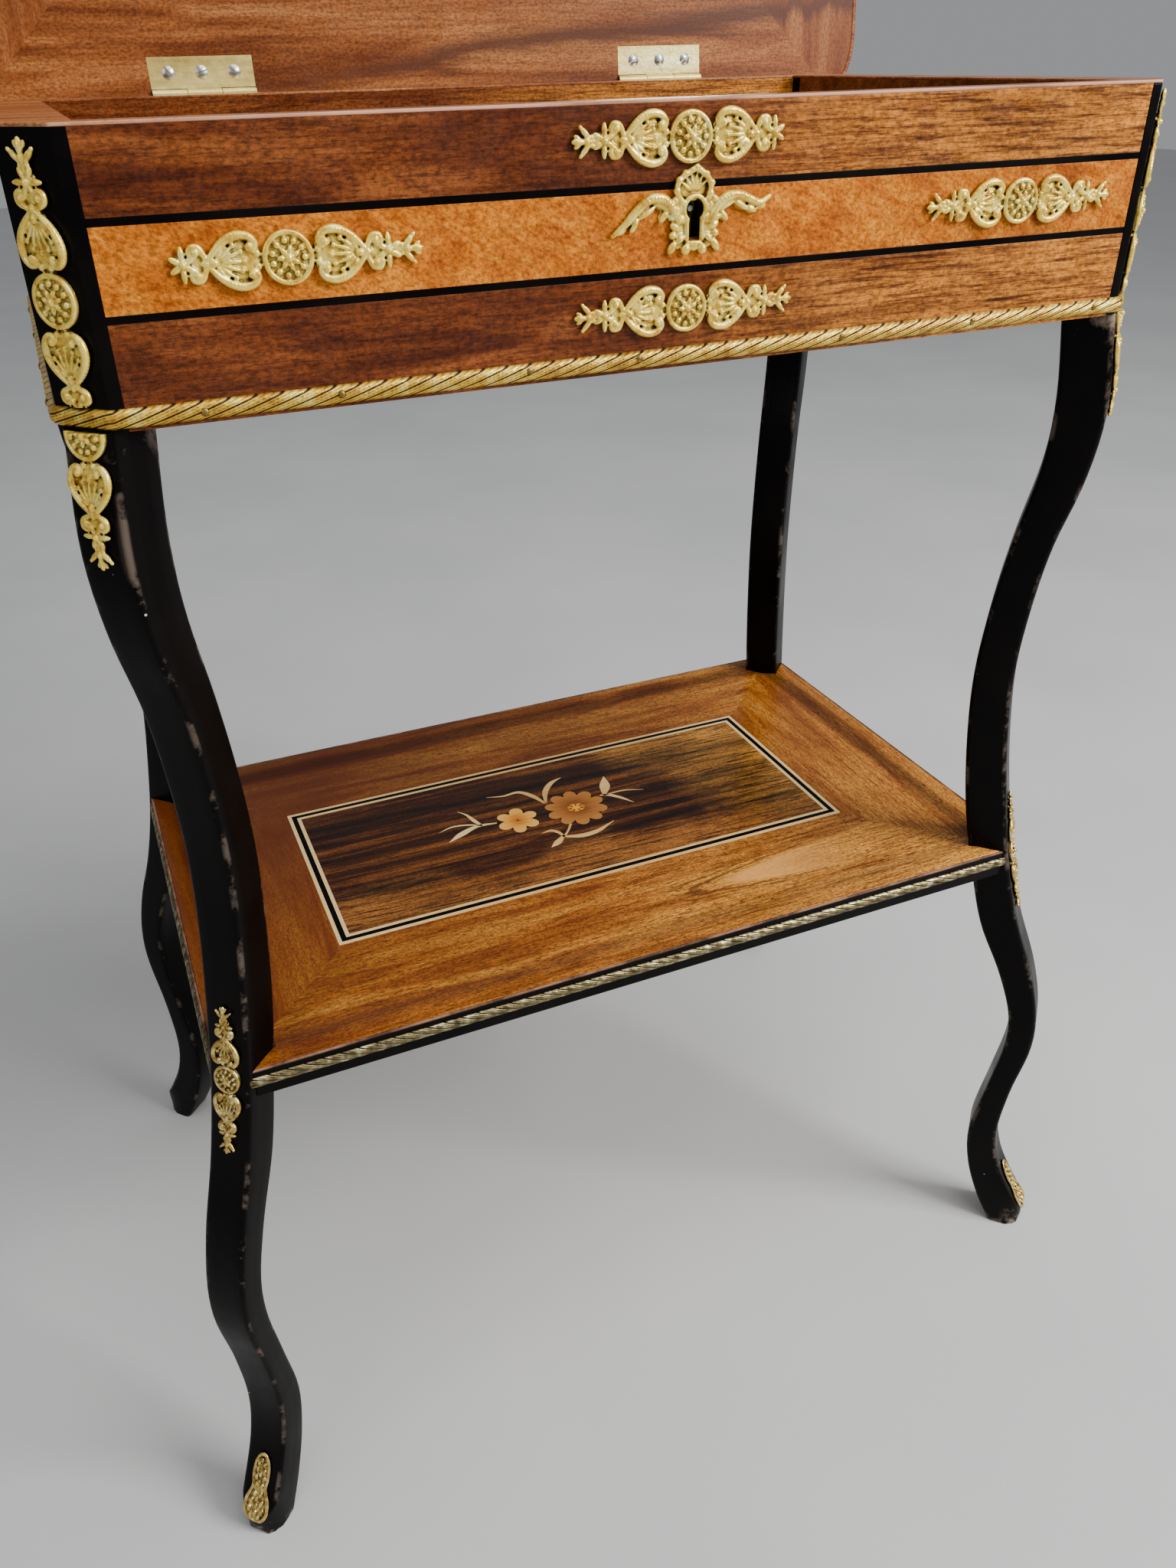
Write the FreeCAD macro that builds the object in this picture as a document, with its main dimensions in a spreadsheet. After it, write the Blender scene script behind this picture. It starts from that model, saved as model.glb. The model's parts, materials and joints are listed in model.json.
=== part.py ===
import FreeCAD, Part
import math
import os
import re

import Sketcher

# A small dressing table: a veneered case with a hinged lid on four ebonised cabriole legs,
# with a dished shelf between them. X runs along the front, Y to the back and Z up.
# The origin is on the floor, under the centre of the case.

doc = FreeCAD.newDocument("DressingTable")
V = FreeCAD.Vector

# Driving sizes in millimetres and degrees
SIZES = (
    ("CaseWidth", 484, "case across the front"),
    ("CaseDepth", 296, "case front to back"),
    ("LegHeight", 625, "lower edge of the case above the floor"),
    ("CaseHeight", 95, "height of the case walls"),
    ("WallThickness", 14, "front and back walls with their veneer"),
    ("SideWallThickness", 25, "left and right walls with their veneer"),
    ("RimThickness", 1.2, "veneer on the top edges of the walls"),
    ("BottomThickness", 8, "case bottom board"),
    ("BottomRise", 4, "bottom board above the lower edge of the walls"),
    ("VeneerThickness", 1.2, "case veneer"),
    ("LineWidth", 2.6, "black strings between the bands"),
    ("PostSide", 22, "corner post along each face"),
    ("PostChamfer", 17, "cut corner of the post, along each face"),
    ("RopeRise", 1.2, "rope moulding above the lower edge of the case"),
    ("RopeHeight", 6.8, "rope moulding height"),
    ("RopeDepth", 3, "rope moulding out from the case"),
    ("LegWidth", 24, "leg across its diagonal"),
    ("LegReach", 64, "toe tip outside the cut corner of the case"),
    ("ToeRadius", 12, "rounded toe in plan"),
    ("ToeRise", 70, "height of the rounding on the toe"),
    ("DowelRadius", 2.8, "peg between leg and post"),
    ("DowelLength", 40, "peg length, half in each piece"),
    ("DowelInset", 4, "peg axis inside the cut corner"),
    ("ShelfBeyondSide", 1, "shelf with its edge moulding beyond the case, left and right"),
    ("ShelfBeyondFront", 1, "shelf with its edge moulding beyond the case, front and back"),
    ("ShelfThickness", 17, "shelf at the rim"),
    ("ShelfDish", 2.5, "field below the rim"),
    ("ShelfCornerCut", 16, "cut corner of the shelf, along each side"),
    ("ShelfEdge", 1.5, "black facing round the edge of the shelf"),
    ("RimWidth", 9.5, "flat top of the shelf rim, inside the edge moulding"),
    ("CoveWidth", 30, "hollow from the rim down to the field"),
    ("CoveFoot", 0.6, "rise of the flatter lower part of the hollow"),
    ("CoveToe", 19, "width of the flatter lower part of the hollow"),
    ("TrimHeight", 6, "rope strip on the shelf edge"),
    ("TrimDepth", 2, "rope strip out from the shelf edge"),
    ("TrimDrop", 4.2, "rope strip below the rim"),
    ("InlayInsetSide", 79.3, "stringing frame inside the shelf edge, left and right"),
    ("InlayInsetFront", 77.2, "stringing frame inside the shelf edge, front and back"),
    ("InlayLine", 7.6, "stringing frame width"),
    ("InlayShift", 3.4, "stringing frame behind the middle of the shelf"),
    ("InlayThickness", 0.8, "inlay and field veneer"),
    ("ScrewRadius", 2, "shelf screw"),
    ("ScrewHead", 3.6, "shelf screw head radius"),
    ("ScrewHeadHeight", 3, "shelf screw head"),
    ("ScrewLength", 44, "shelf screw with its head"),
    ("ScrewStart", 4.9, "outer end of the shelf screw, outside the cut corner of the case"),
    ("LidOverhangSide", 30, "lid beyond the case, left and right"),
    ("LidOverhangFront", 28, "lid beyond the case, front and back"),
    ("LidThickness", 14, "lid with both veneers"),
    ("LidVeneer", 1, "lid veneer"),
    ("LidRadius", 46, "lid corners in plan"),
    ("LidEdge", 3, "edge moulding of the lid"),
    ("LidGap", 0.3, "closed lid above the case"),
    ("LidOpenAngle", 95, "lid opened to its stop"),
    ("LidInlayInset", 74, "stringing of the lid inside its edge"),
    ("LidInlayLine", 4, "stringing width of the lid"),
    ("MirrorInsetSide", 92, "mirror inside the lid edge, left and right"),
    ("MirrorInsetFront", 92, "mirror inside the lid edge, front and back"),
    ("MirrorThickness", 3, "mirror glass"),
    ("BeadLap", 3, "mirror bead over the glass"),
    ("BeadWidth", 9, "mirror bead"),
    ("BeadHeight", 3, "mirror bead below the lid"),
    ("HingeLength", 54, "butt hinge"),
    ("HingeInset", 108, "hinge centre inside the end of the case"),
    ("LeafLid", 17, "lid leaf, from the pin to its edge"),
    ("LeafCase", 11, "case leaf on the wall"),
    ("LeafThickness", 1.3, "hinge leaf"),
    ("KnuckleRadius", 2.2, "hinge knuckle"),
    ("KnuckleClear", 0.3, "clearance round the knuckle"),
    ("KnuckleGap", 0.3, "gap between two knuckles"),
    ("PinRadius", 1, "hinge pin"),
    ("PinClear", 0.05, "running clearance of the pin"),
    ("SmallScrew", 1.1, "hinge screw shank"),
    ("SmallHead", 2.3, "hinge screw head"),
    ("SmallLength", 8, "hinge screw"),
    ("SmallSlot", 0.5, "slot of a screw"),
    ("SmallPitch", 17, "distance between hinge screws"),
    ("LockWidth", 60, "lock case"),
    ("LockHeight", 52, "lock case, from the top of the wall"),
    ("LockThickness", 8, "lock case front to back"),
    ("LockPlate", 1.2, "lock case plates"),
    ("SelvedgeWidth", 74, "top plate of the lock"),
    ("SelvedgeThickness", 1.6, "top plate of the lock"),
    ("LockScrewInset", 3.5, "lock screw inside the end of the top plate"),
    ("KeyholeDrop", 37, "keyhole centre below the top of the case"),
    ("KeyholeRadius", 3.5, "round part of the keyhole"),
    ("KeyholeSlot", 4.6, "slot of the keyhole"),
    ("KeyholeDepth", 10, "slot below the keyhole centre"),
    ("DrillPinRadius", 1.2, "drill pin of the lock"),
    ("DrillPinLength", 10.5, "drill pin out from the back plate"),
    ("BoltDrop", 5.6, "bolt centre below the top of the case"),
    ("BoltLength", 20, "thick part of the bolt"),
    ("BoltHeight", 5, "thick part of the bolt"),
    ("FingerLength", 8, "finger of the bolt"),
    ("FingerHeight", 3, "finger of the bolt"),
    ("FingerThickness", 2, "finger of the bolt front to back"),
    ("BoltClear", 0.3, "clearance round the bolt"),
    ("BoltStart", 3, "end of the drawn bolt, left of the staple"),
    ("StapleThickness", 2.4, "staple along the front"),
    ("StaplePlace", 8, "staple centre from the middle of the case"),
    ("StapleDrop", 9.5, "staple below the lid"),
    ("StapleClear", 0.5, "clearance of the staple in its slot"),
    ("EyeHeight", 4, "eye of the staple"),
    ("EyeWidth", 2.8, "eye of the staple front to back"),
    ("StrikeWidth", 44, "strike plate in the lid"),
    ("StrikeDepth", 10, "strike plate front to back"),
    ("StrikeThickness", 1.4, "strike plate"),
    ("MountLength", 97, "gilt mounts of the front, posts and knees"),
    ("MountDepth", 3.4, "gilt mounts, relief at the centre"),
    ("MountBack", 1.1, "backing of the gilt mounts"),
    ("SideMountInset", 85, "centre of a side mount inside the end of the case"),
    ("TopMountDrop", 12.5, "upper mount below the top of the case"),
    ("MountShift", 2.5, "upper and lower mounts to the left of the middle"),
    ("PostMountDrop", 52, "rosette of a post mount below the top of the case"),
    ("PostMountRise", 0.5, "cut lower end of a post mount above the rope moulding"),
    ("KneeMountDrop", 1, "rosette of a knee mount below the case"),
    ("ShelfMountLength", 81, "gilt mounts over the shelf corners"),
    ("ToeMountLength", 38, "gilt mounts on the toes"),
    ("LegMountDepth", 2, "gilt mounts on the curved legs"),
    ("PlateDepth", 1.8, "keyhole plate"),
    ("PlateWidth", 70, "keyhole plate with its leaves"),
    ("PlateHeight", 32, "keyhole plate"),
    ("Overrun", 5, "cutters beyond the faces they cut"),
)

# Share tables chosen by hand
# Leg profile: outward as a share of the reach, height as a share of the leg height
leg_outer_shares = (
    (0.010, 1.000), (0.098, 0.928), (0.046, 0.872), (-0.091, 0.814), (-0.166, 0.752),
    (-0.189, 0.688), (-0.124, 0.616), (-0.007, 0.544), (0.114, 0.485), (0.282, 0.427),
    (0.529, 0.362), (0.656, 0.310), (0.676, 0.270), (0.579, 0.200), (0.547, 0.133),
    (0.640, 0.090), (0.850, 0.047), (0.972, 0.026), (1.000, 0.010),
)
leg_inner_shares = (
    (-0.363, 1.000), (-0.286, 0.936), (-0.296, 0.883), (-0.414, 0.814), (-0.491, 0.752),
    (-0.525, 0.688), (-0.482, 0.618), (-0.375, 0.542), (-0.241, 0.485), (-0.058, 0.419),
    (0.215, 0.360), (0.392, 0.307), (0.418, 0.267), (0.339, 0.200), (0.259, 0.131),
    (0.325, 0.083), (0.490, 0.035), (0.664, 0.000),
)
sole_tip_share = 0.975
# Levels that follow the curve of the leg, as shares of its height
shelf_level_share = 0.5096
shelf_mount_share = 0.5016
toe_mount_share = 0.0512
# Gilt mounts: along, across and radius as shares of the mount length, height of its depth
mount_shares = (
    (0.000, 0.000, 0.094, 1.00), (0.160, 0.000, 0.086, 0.85), (-0.160, 0.000, 0.086, 0.85),
    (0.225, 0.000, 0.055, 0.75), (-0.225, 0.000, 0.055, 0.75), (0.275, 0.000, 0.026, 0.60),
    (-0.275, 0.000, 0.026, 0.60), (0.318, 0.036, 0.030, 0.60), (0.318, -0.036, 0.030, 0.60),
    (-0.318, 0.036, 0.030, 0.60), (-0.318, -0.036, 0.030, 0.60), (0.364, 0.000, 0.048, 0.75),
    (-0.364, 0.000, 0.048, 0.75), (0.447, 0.030, 0.024, 0.50), (0.447, -0.030, 0.024, 0.50),
    (-0.447, 0.030, 0.024, 0.50), (-0.447, -0.030, 0.024, 0.50), (0.475, 0.000, 0.025, 0.60),
    (-0.475, 0.000, 0.025, 0.60),
)
spine_shares = (0.92, 0.05)
# The outermost leaves are missing from one end of two mounts
broken_share = 0.42
toe_shares = (
    (-0.280, 0.000, 0.210, 1.0), (-0.130, 0.000, 0.180, 1.0), (0.030, 0.000, 0.135, 1.0),
    (0.200, 0.000, 0.125, 1.0), (0.380, 0.000, 0.115, 1.0),
)
frustum_share = 0.72
# Keyhole plate: across, up and radius as shares of the plate width and height
plate_shares = (
    (0.00, 0.00, 0.30), (0.00, -0.24, 0.24), (0.00, 0.30, 0.18), (0.12, 0.22, 0.15),
    (-0.12, 0.22, 0.15), (0.16, -0.02, 0.17), (-0.16, -0.02, 0.17), (0.24, -0.07, 0.15),
    (-0.24, -0.07, 0.15), (0.33, -0.03, 0.14), (-0.33, -0.03, 0.14), (0.41, 0.06, 0.12),
    (-0.41, 0.06, 0.12), (0.46, 0.12, 0.09), (-0.46, 0.12, 0.09), (0.10, -0.34, 0.12),
    (-0.10, -0.34, 0.12),
)
# Marquetry: places, radii and swells as shares of the field depth
flower_shares = (
    (0.0918, 0.0647, 0.096, 0.0605, 8),
    (-0.2233, 0.0522, 0.0689, 0.048, 6),
)
leaf_shares = (
    ((-0.6074, 0.1044), (-0.3037, 0.0783), 0.0532), ((-0.4613, 0.1722), (-0.2672, 0.0939), 0.0438),
    ((0.1096, 0.3444), (0.0731, 0.1461), 0.0731), ((-0.0731, 0.3026), (-0.1461, 0.1357), 0.049),
    ((0.3642, 0.24), (0.1826, 0.1148), 0.0584), ((0.4863, 0.0731), (0.2066, 0.0626), 0.0532),
    ((0.2066, -0.1357), (0.1211, -0.0209), 0.0731), ((-0.1461, -0.2296), (0.049, -0.0313), 0.0637),
    ((-0.1096, 0.0626), (-0.049, 0.0626), 0.049),
)

sheet = doc.addObject("Spreadsheet::Sheet", "Sizes")
for row, (alias, number, note) in enumerate(SIZES, 1):
    sheet.set("A%d" % row, note)
    sheet.set("B%d" % row, str(number))
    sheet.setAlias("B%d" % row, alias)
DERIVED = (
    ("CaseTop", "LegHeight + CaseHeight", "top edge of the case above the floor"),
    ("BandHeight", "(CaseHeight - RopeRise - RopeHeight - 2 * LineWidth) / 3", "veneer bands"),
    ("ShelfTop", "LegHeight * %s" % shelf_level_share, "top of the shelf rim above the floor"),
    ("FieldWidth", "CaseWidth + 2 * (ShelfBeyondSide - InlayInsetSide - InlayLine)",
     "field of the shelf inside its stringing"),
    ("FieldDepth", "CaseDepth + 2 * (ShelfBeyondFront - InlayInsetFront - InlayLine)",
     "field of the shelf, front to back"),
)
for row, (alias, formula, note) in enumerate(DERIVED, len(SIZES) + 1):
    sheet.set("A%d" % row, note)
    sheet.set("B%d" % row, "=" + formula)
    sheet.setAlias("B%d" % row, alias)
doc.recompute()


def size(alias):
    return float(sheet.get(alias))


def sized(text):
    return re.sub(r"\b([A-Z][A-Za-z]+)\b", r"Sizes.\1", text)


def bind(obj, pairs):
    for prop, text in pairs.items():
        obj.setExpression(prop, sized(text))
    return obj


kept = {}


def keep(obj, label):
    obj.Label = label
    kept[label] = obj
    return obj


# Straight lines through a row of points, each coordinate bound to the table of sizes
def draw(sketch, points, closed=True):
    count = len(points)
    turns = [math.tau * k / count for k in range(count)]
    around = [V(math.cos(turn), math.sin(turn), 0) for turn in turns]
    lines = count if closed else count - 1
    for k in range(lines):
        sketch.addGeometry(Part.LineSegment(around[k], around[(k + 1) % count]), False)
    for k in range(lines if closed else lines - 1):
        sketch.addConstraint(Sketcher.Constraint("Coincident", k, 2, (k + 1) % count, 1))
    for k in range(count):
        edge, end = (k, 1) if k < lines else (k - 1, 2)
        for axis, kind in ((0, "DistanceX"), (1, "DistanceY")):
            place = (around[k].x, around[k].y)[axis]
            number = sketch.addConstraint(Sketcher.Constraint(kind, -1, 1, edge, end, place))
            sketch.setExpression("Constraints[%d]" % number, sized(points[k][axis]))
    return sketch


def outline_sketch(body, name, points, rise, closed=True):
    plane = [o for o in body.Origin.OriginFeatures if o.Role == "XY_Plane"][0]
    sketch = body.newObject("Sketcher::SketchObject", name)
    sketch.AttachmentSupport = (plane, [""])
    sketch.MapMode = "FlatFace"
    bind(sketch, {"AttachmentOffset.Base.z": rise})
    return draw(sketch, points, closed)


def slab(name, points, rise, height):
    body = doc.addObject("PartDesign::Body", name)
    sketch = outline_sketch(body, name + "_outline", points, rise)
    pad = body.newObject("PartDesign::Pad", name + "_pad")
    pad.Profile = sketch
    bind(pad, {"Length": height})
    return body


def rectangle(x_low, x_high, y_low, y_high):
    return ((x_low, y_low), (x_high, y_low), (x_high, y_high), (x_low, y_high))


def centred(half_x, half_y, shift="0"):
    return rectangle(
        "-(%s)" % half_x, half_x, "%s - (%s)" % (shift, half_y), "%s + (%s)" % (shift, half_y)
    )


def rounded(name, points, rise, height, radius):
    body = slab(name, points, rise, height)
    doc.recompute()
    edges = []
    for k, edge in enumerate(body.Shape.Edges, 1):
        way = edge.Vertexes[0].Point - edge.Vertexes[-1].Point
        if abs(way.x) + abs(way.y) < abs(way.z) * 1e-6:
            edges.append("Edge%d" % k)
    pad = body.Tip
    fillet = body.newObject("PartDesign::Fillet", name + "_corners")
    fillet.Base = (pad, edges)
    bind(fillet, {"Radius": radius})
    body.Tip = fillet
    return body


# Corner with its point cut off at 45 degrees, moved inwards by a distance
def cut_corner(half_x, half_y, cut, inset):
    x = "(%s - %s)" % (half_x, inset)
    y = "(%s - %s)" % (half_y, inset)
    c = "(%s - %s * (2 - sqrt(2)))" % (cut, inset)
    return (
        ("-" + x, "-(%s - %s)" % (y, c)), ("-(%s - %s)" % (x, c), "-" + y),
        ("%s - %s" % (x, c), "-" + y), (x, "-(%s - %s)" % (y, c)),
        (x, "%s - %s" % (y, c)), ("%s - %s" % (x, c), y),
        ("-(%s - %s)" % (x, c), y), ("-" + x, "%s - %s" % (y, c)),
    )


# Primitives
def box(name, x, width, y, depth, z, height):
    solid = doc.addObject("Part::Box", name)
    return bind(solid, {
        "Length": width, "Width": depth, "Height": height,
        "Placement.Base.x": x, "Placement.Base.y": y, "Placement.Base.z": z,
    })


def rod(name, radius, length, x, y, z, way=V(0, 0, 1)):
    solid = doc.addObject("Part::Cylinder", name)
    solid.Placement = FreeCAD.Placement(V(), FreeCAD.Rotation(V(0, 0, 1), way))
    return bind(solid, {
        "Radius": radius, "Height": length,
        "Placement.Base.x": x, "Placement.Base.y": y, "Placement.Base.z": z,
    })


def cone(name, radius_low, radius_high, height, x, y, z, way=V(0, 0, 1)):
    solid = doc.addObject("Part::Cone", name)
    solid.Placement = FreeCAD.Placement(V(), FreeCAD.Rotation(V(0, 0, 1), way))
    return bind(solid, {
        "Radius1": radius_low, "Radius2": radius_high, "Height": height,
        "Placement.Base.x": x, "Placement.Base.y": y, "Placement.Base.z": z,
    })


def fuse(name, solids):
    joined = doc.addObject("Part::MultiFuse", name)
    joined.Shapes = solids
    joined.Refine = False
    return joined


def group(name, solids):
    together = doc.addObject("Part::Compound", name)
    together.Links = solids
    return together


def cut(name, base, tools):
    result = doc.addObject("Part::Cut", name)
    result.Base = base
    result.Tool = tools[0] if len(tools) == 1 else fuse(name + "_tools", tools)
    return result


def shaped(name, shape):
    feature = doc.addObject("Part::Feature", name)
    feature.Shape = shape
    return feature


case_under = "LegHeight"
wall_height = "CaseHeight - RimThickness"
corners = (
    ("front_left", -1, -1), ("front_right", 1, -1), ("back_right", 1, 1), ("back_left", -1, 1),
)
sides = (("left", -1), ("right", 1))
down = V(0, 0, -1)
up = V(0, 0, 1)

# Pegs that join each leg to the post above it
peg_place = "PostChamfer / 2 + DowelInset * sqrt(2) / 2"
pegs = [
    rod("peg_" + name, "DowelRadius", "DowelLength",
        "%d * (CaseWidth / 2 - (%s))" % (sx, peg_place),
        "%d * (CaseDepth / 2 - (%s))" % (sy, peg_place),
        case_under + " - DowelLength / 2")
    for name, sx, sy in corners
]
leg_pegs = keep(group("leg_pegs", pegs), "leg_pegs")

# Corner posts, with the point of each cut off and the inner corner open
for name, sx, sy in corners:
    def at(x, y):
        return ("%d * (CaseWidth / 2 - %s)" % (sx, x), "%d * (CaseDepth / 2 - %s)" % (sy, y))
    outline = (
        at("0", "PostSide"), at("0", "PostChamfer"), at("PostChamfer", "0"), at("PostSide", "0"),
        at("PostSide", "WallThickness"), at("SideWallThickness", "WallThickness"),
        at("SideWallThickness", "PostSide"),
    )
    blank = slab("post_blank_" + name, outline, case_under, wall_height)
    keep(cut("corner_post_" + name, blank, [leg_pegs]), "corner_post_" + name)

# Hinge screws and lock screws: a countersunk head and a plain shank
def small_screw(name, x, y, z, way):
    sign = "+" if way.z > 0 else "-"
    head = cone(name + "_head", "SmallHead", "SmallScrew", "SmallHead - SmallScrew", x, y, z, way)
    shank = rod(name + "_shank", "SmallScrew", "SmallLength", x, y, z, way)
    whole = fuse(name + "_whole", [head, shank])
    slot = box(
        name + "_slot", x + " - SmallHead", "2 * SmallHead", y + " - SmallSlot / 2", "SmallSlot",
        z + " %s SmallSlot / 2 - SmallSlot / 2" % sign, "SmallSlot",
    )
    return whole, cut(name, whole, [slot])


# Case boards
lock_y = "(CaseDepth / 2 - WallThickness)"
lock_middle = "-(%s + LockThickness / 2)" % lock_y
keyhole_z = "(CaseTop - KeyholeDrop)"
front_y = V(0, 1, 0)


def keyhole(name, y, depth):
    hole = rod(name + "_round", "KeyholeRadius", depth, "0", y, keyhole_z, front_y)
    slot = box(
        name + "_slot", "-KeyholeSlot / 2", "KeyholeSlot", y, depth,
        keyhole_z + " - KeyholeDepth", "KeyholeDepth",
    )
    return fuse(name, [hole, slot])


front_board = slab(
    "front_board",
    rectangle("-(CaseWidth / 2 - PostSide)", "CaseWidth / 2 - PostSide",
              "-(CaseDepth / 2 - VeneerThickness)", "-" + lock_y),
    case_under, wall_height,
)
lock_room = box(
    "lock_room", "-LockWidth / 2", "LockWidth", "-%s - LockThickness" % lock_y, "LockThickness + Overrun",
    "CaseTop - LockHeight", "LockHeight + Overrun",
)
selvedge_room = box(
    "selvedge_room", "-SelvedgeWidth / 2", "SelvedgeWidth", "-%s - LockThickness" % lock_y,
    "LockThickness + Overrun", "CaseTop - SelvedgeThickness", "SelvedgeThickness + Overrun",
)
front_keyhole = keyhole("front_keyhole", "-CaseDepth / 2 - Overrun", "WallThickness + Overrun")
lock_screws = [
    small_screw(
        "lock_screw_" + side, "%d * (SelvedgeWidth / 2 - LockScrewInset)" % sx, lock_middle,
        "CaseTop", down,
    )
    for side, sx in sides
]
keep(cut(
    "case_front", front_board,
    [lock_room, selvedge_room, front_keyhole] + [whole for whole, slotted in lock_screws],
), "case_front")

for side, sx in sides:
    near = "%d * (CaseWidth / 2 - SideWallThickness)" % sx
    far = "%d * (CaseWidth / 2 - VeneerThickness)" % sx
    keep(slab(
        "case_" + side,
        rectangle(near, far, "-(CaseDepth / 2 - PostSide)", "CaseDepth / 2 - PostSide"),
        case_under, wall_height,
    ), "case_" + side)

inner_half = ("CaseWidth / 2 - SideWallThickness", "CaseDepth / 2 - WallThickness")
keep(slab(
    "case_bottom", centred(*inner_half),
    case_under + " + BottomRise", "BottomThickness",
), "case_bottom")

# Veneer bands with black strings between them
band_top = (
    ("top", "CaseTop - BandHeight", "BandHeight - RimThickness"),
    ("middle", "CaseTop - 2 * BandHeight - LineWidth", "BandHeight"),
    ("bottom", case_under, "CaseHeight - 2 * BandHeight - 2 * LineWidth"),
)
line_low = (
    "CaseTop - BandHeight - LineWidth", "CaseTop - 2 * BandHeight - 2 * LineWidth",
)
for place, low, height in band_top:
    band = box(
        "front_band_" + place, "-(CaseWidth / 2 - PostSide)", "CaseWidth - 2 * PostSide",
        "-CaseDepth / 2", "VeneerThickness", low, height,
    )
    if place == "middle":
        band = cut("front_band_open", band, [front_keyhole])
    keep(band, "front_veneer_" + place)

lines = [
    box("front_line_%d" % k, "-(CaseWidth / 2 - PostSide)", "CaseWidth - 2 * PostSide",
        "-CaseDepth / 2", "VeneerThickness", low, "LineWidth")
    for k, low in enumerate(line_low)
]
for side, sx in sides:
    skin_x = "-CaseWidth / 2" if sx < 0 else "CaseWidth / 2 - VeneerThickness"
    bands = [
        box("%s_band_%s" % (side, place), skin_x, "VeneerThickness",
            "-(CaseDepth / 2 - PostSide)", "CaseDepth - 2 * PostSide", low, height)
        for place, low, height in band_top
    ]
    keep(group("bands_" + side, bands), "side_veneer_" + side)
    lines += [
        box("%s_line_%d" % (side, k), skin_x, "VeneerThickness",
            "-(CaseDepth / 2 - PostSide)", "CaseDepth - 2 * PostSide", low, "LineWidth")
        for k, low in enumerate(line_low)
    ]
keep(group("lines", lines), "case_stringing")

# Rope moulding round the front and sides of the case, half round
rope_body = doc.addObject("PartDesign::Body", "rope")
rope_middle = case_under + " + RopeRise + RopeHeight / 2"
rope_path = outline_sketch(rope_body, "rope_path", (
    ("-CaseWidth / 2", "CaseDepth / 2 - PostChamfer"),
    ("-CaseWidth / 2", "-(CaseDepth / 2 - PostChamfer)"),
    ("-(CaseWidth / 2 - PostChamfer)", "-CaseDepth / 2"),
    ("CaseWidth / 2 - PostChamfer", "-CaseDepth / 2"),
    ("CaseWidth / 2", "-(CaseDepth / 2 - PostChamfer)"),
    ("CaseWidth / 2", "CaseDepth / 2 - PostChamfer"),
), rope_middle, closed=False)
rope_section = rope_body.newObject("Sketcher::SketchObject", "rope_section")
rope_section.AttachmentSupport = (
    [o for o in rope_body.Origin.OriginFeatures if o.Role == "XZ_Plane"][0], [""]
)
rope_section.MapMode = "FlatFace"
bind(rope_section, {
    "AttachmentOffset.Base.x": "-CaseWidth / 2",
    "AttachmentOffset.Base.y": rope_middle,
    "AttachmentOffset.Base.z": "-(CaseDepth / 2 - PostChamfer)",
})
rope_section.addGeometry(Part.Arc(V(0, 1, 0), V(-1, 0, 0), V(0, -1, 0)), False)
rope_section.addGeometry(Part.LineSegment(V(0, -1, 0), V(0, 1, 0)), False)
rope_section.addConstraint(Sketcher.Constraint("Coincident", 0, 1, 1, 2))
rope_section.addConstraint(Sketcher.Constraint("Coincident", 0, 2, 1, 1))
rope_section.addConstraint(Sketcher.Constraint("PointOnObject", 1, 1, -2))
rope_section.addConstraint(Sketcher.Constraint("Symmetric", 1, 1, 1, 2, -1, 1))
height_row = rope_section.addConstraint(Sketcher.Constraint("DistanceY", 1, 1, 1, 2, 2))
rope_section.setExpression("Constraints[%d]" % height_row, sized("RopeHeight"))
arc_centre = "RopeHeight^2 / (8 * RopeDepth) - RopeDepth / 2"
centre_row = rope_section.addConstraint(Sketcher.Constraint("DistanceX", -1, 1, 0, 3, 1))
rope_section.setExpression("Constraints[%d]" % centre_row, sized(arc_centre))
rope_pipe = rope_body.newObject("PartDesign::AdditivePipe", "rope_pipe")
rope_pipe.Profile = rope_section
rope_pipe.Spine = (rope_path, ["Edge%d" % k for k in range(1, 6)])
rope_pipe.Transition = "Right corner"
keep(rope_body, "base_rope_moulding")

# Legs: one profile in the diagonal plane, screwed to the shelf and pegged to the posts
leg_height = size("LegHeight")
reach = size("LegReach")


def leg_curve(shares):
    curve = Part.BSplineCurve()
    curve.interpolate([V(out * reach, 0, rise * leg_height) for out, rise in shares])
    return curve


outer_curve = leg_curve(leg_outer_shares)
inner_curve = leg_curve(leg_inner_shares)
outer_edge = outer_curve.toShape()
inner_edge = inner_curve.toShape()
sole_tip = V(sole_tip_share * reach, 0, 0)
loop = Part.Wire(Part.__sortEdges__([
    outer_edge,
    Part.makeLine(outer_curve.EndPoint, sole_tip),
    Part.makeLine(sole_tip, inner_curve.EndPoint),
    inner_edge,
    Part.makeLine(inner_curve.StartPoint, outer_curve.StartPoint),
]))
leg_profile = shaped("leg_profile", Part.Face(loop))
leg_blank = doc.addObject("Part::Extrusion", "leg_blank")
leg_blank.Base = leg_profile
leg_blank.DirMode = "Custom"
leg_blank.Dir = V(0, 1, 0)
leg_blank.Solid = True
leg_blank.Symmetric = True
bind(leg_blank, {"LengthFwd": "LegWidth"})
toe_block = box(
    "toe_block", "LegReach - ToeRadius", "ToeRadius + Overrun", "-LegWidth / 2 - Overrun",
    "LegWidth + 2 * Overrun", "-Overrun", "ToeRise + Overrun",
)
toe_round = rod(
    "toe_round", "ToeRadius", "ToeRise + 3 * Overrun", "LegReach - ToeRadius", "0", "-2 * Overrun"
)
toe_tool = cut("toe_tool", toe_block, [toe_round])
leg_stock = cut("leg_stock", leg_blank, [toe_tool])
foot_place = "PostChamfer / 2"
shelf_level = "(ShelfTop - (ShelfThickness + ShelfDish) / 2)"
diagonal = "sqrt(2) / 2"
screws = []
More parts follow.
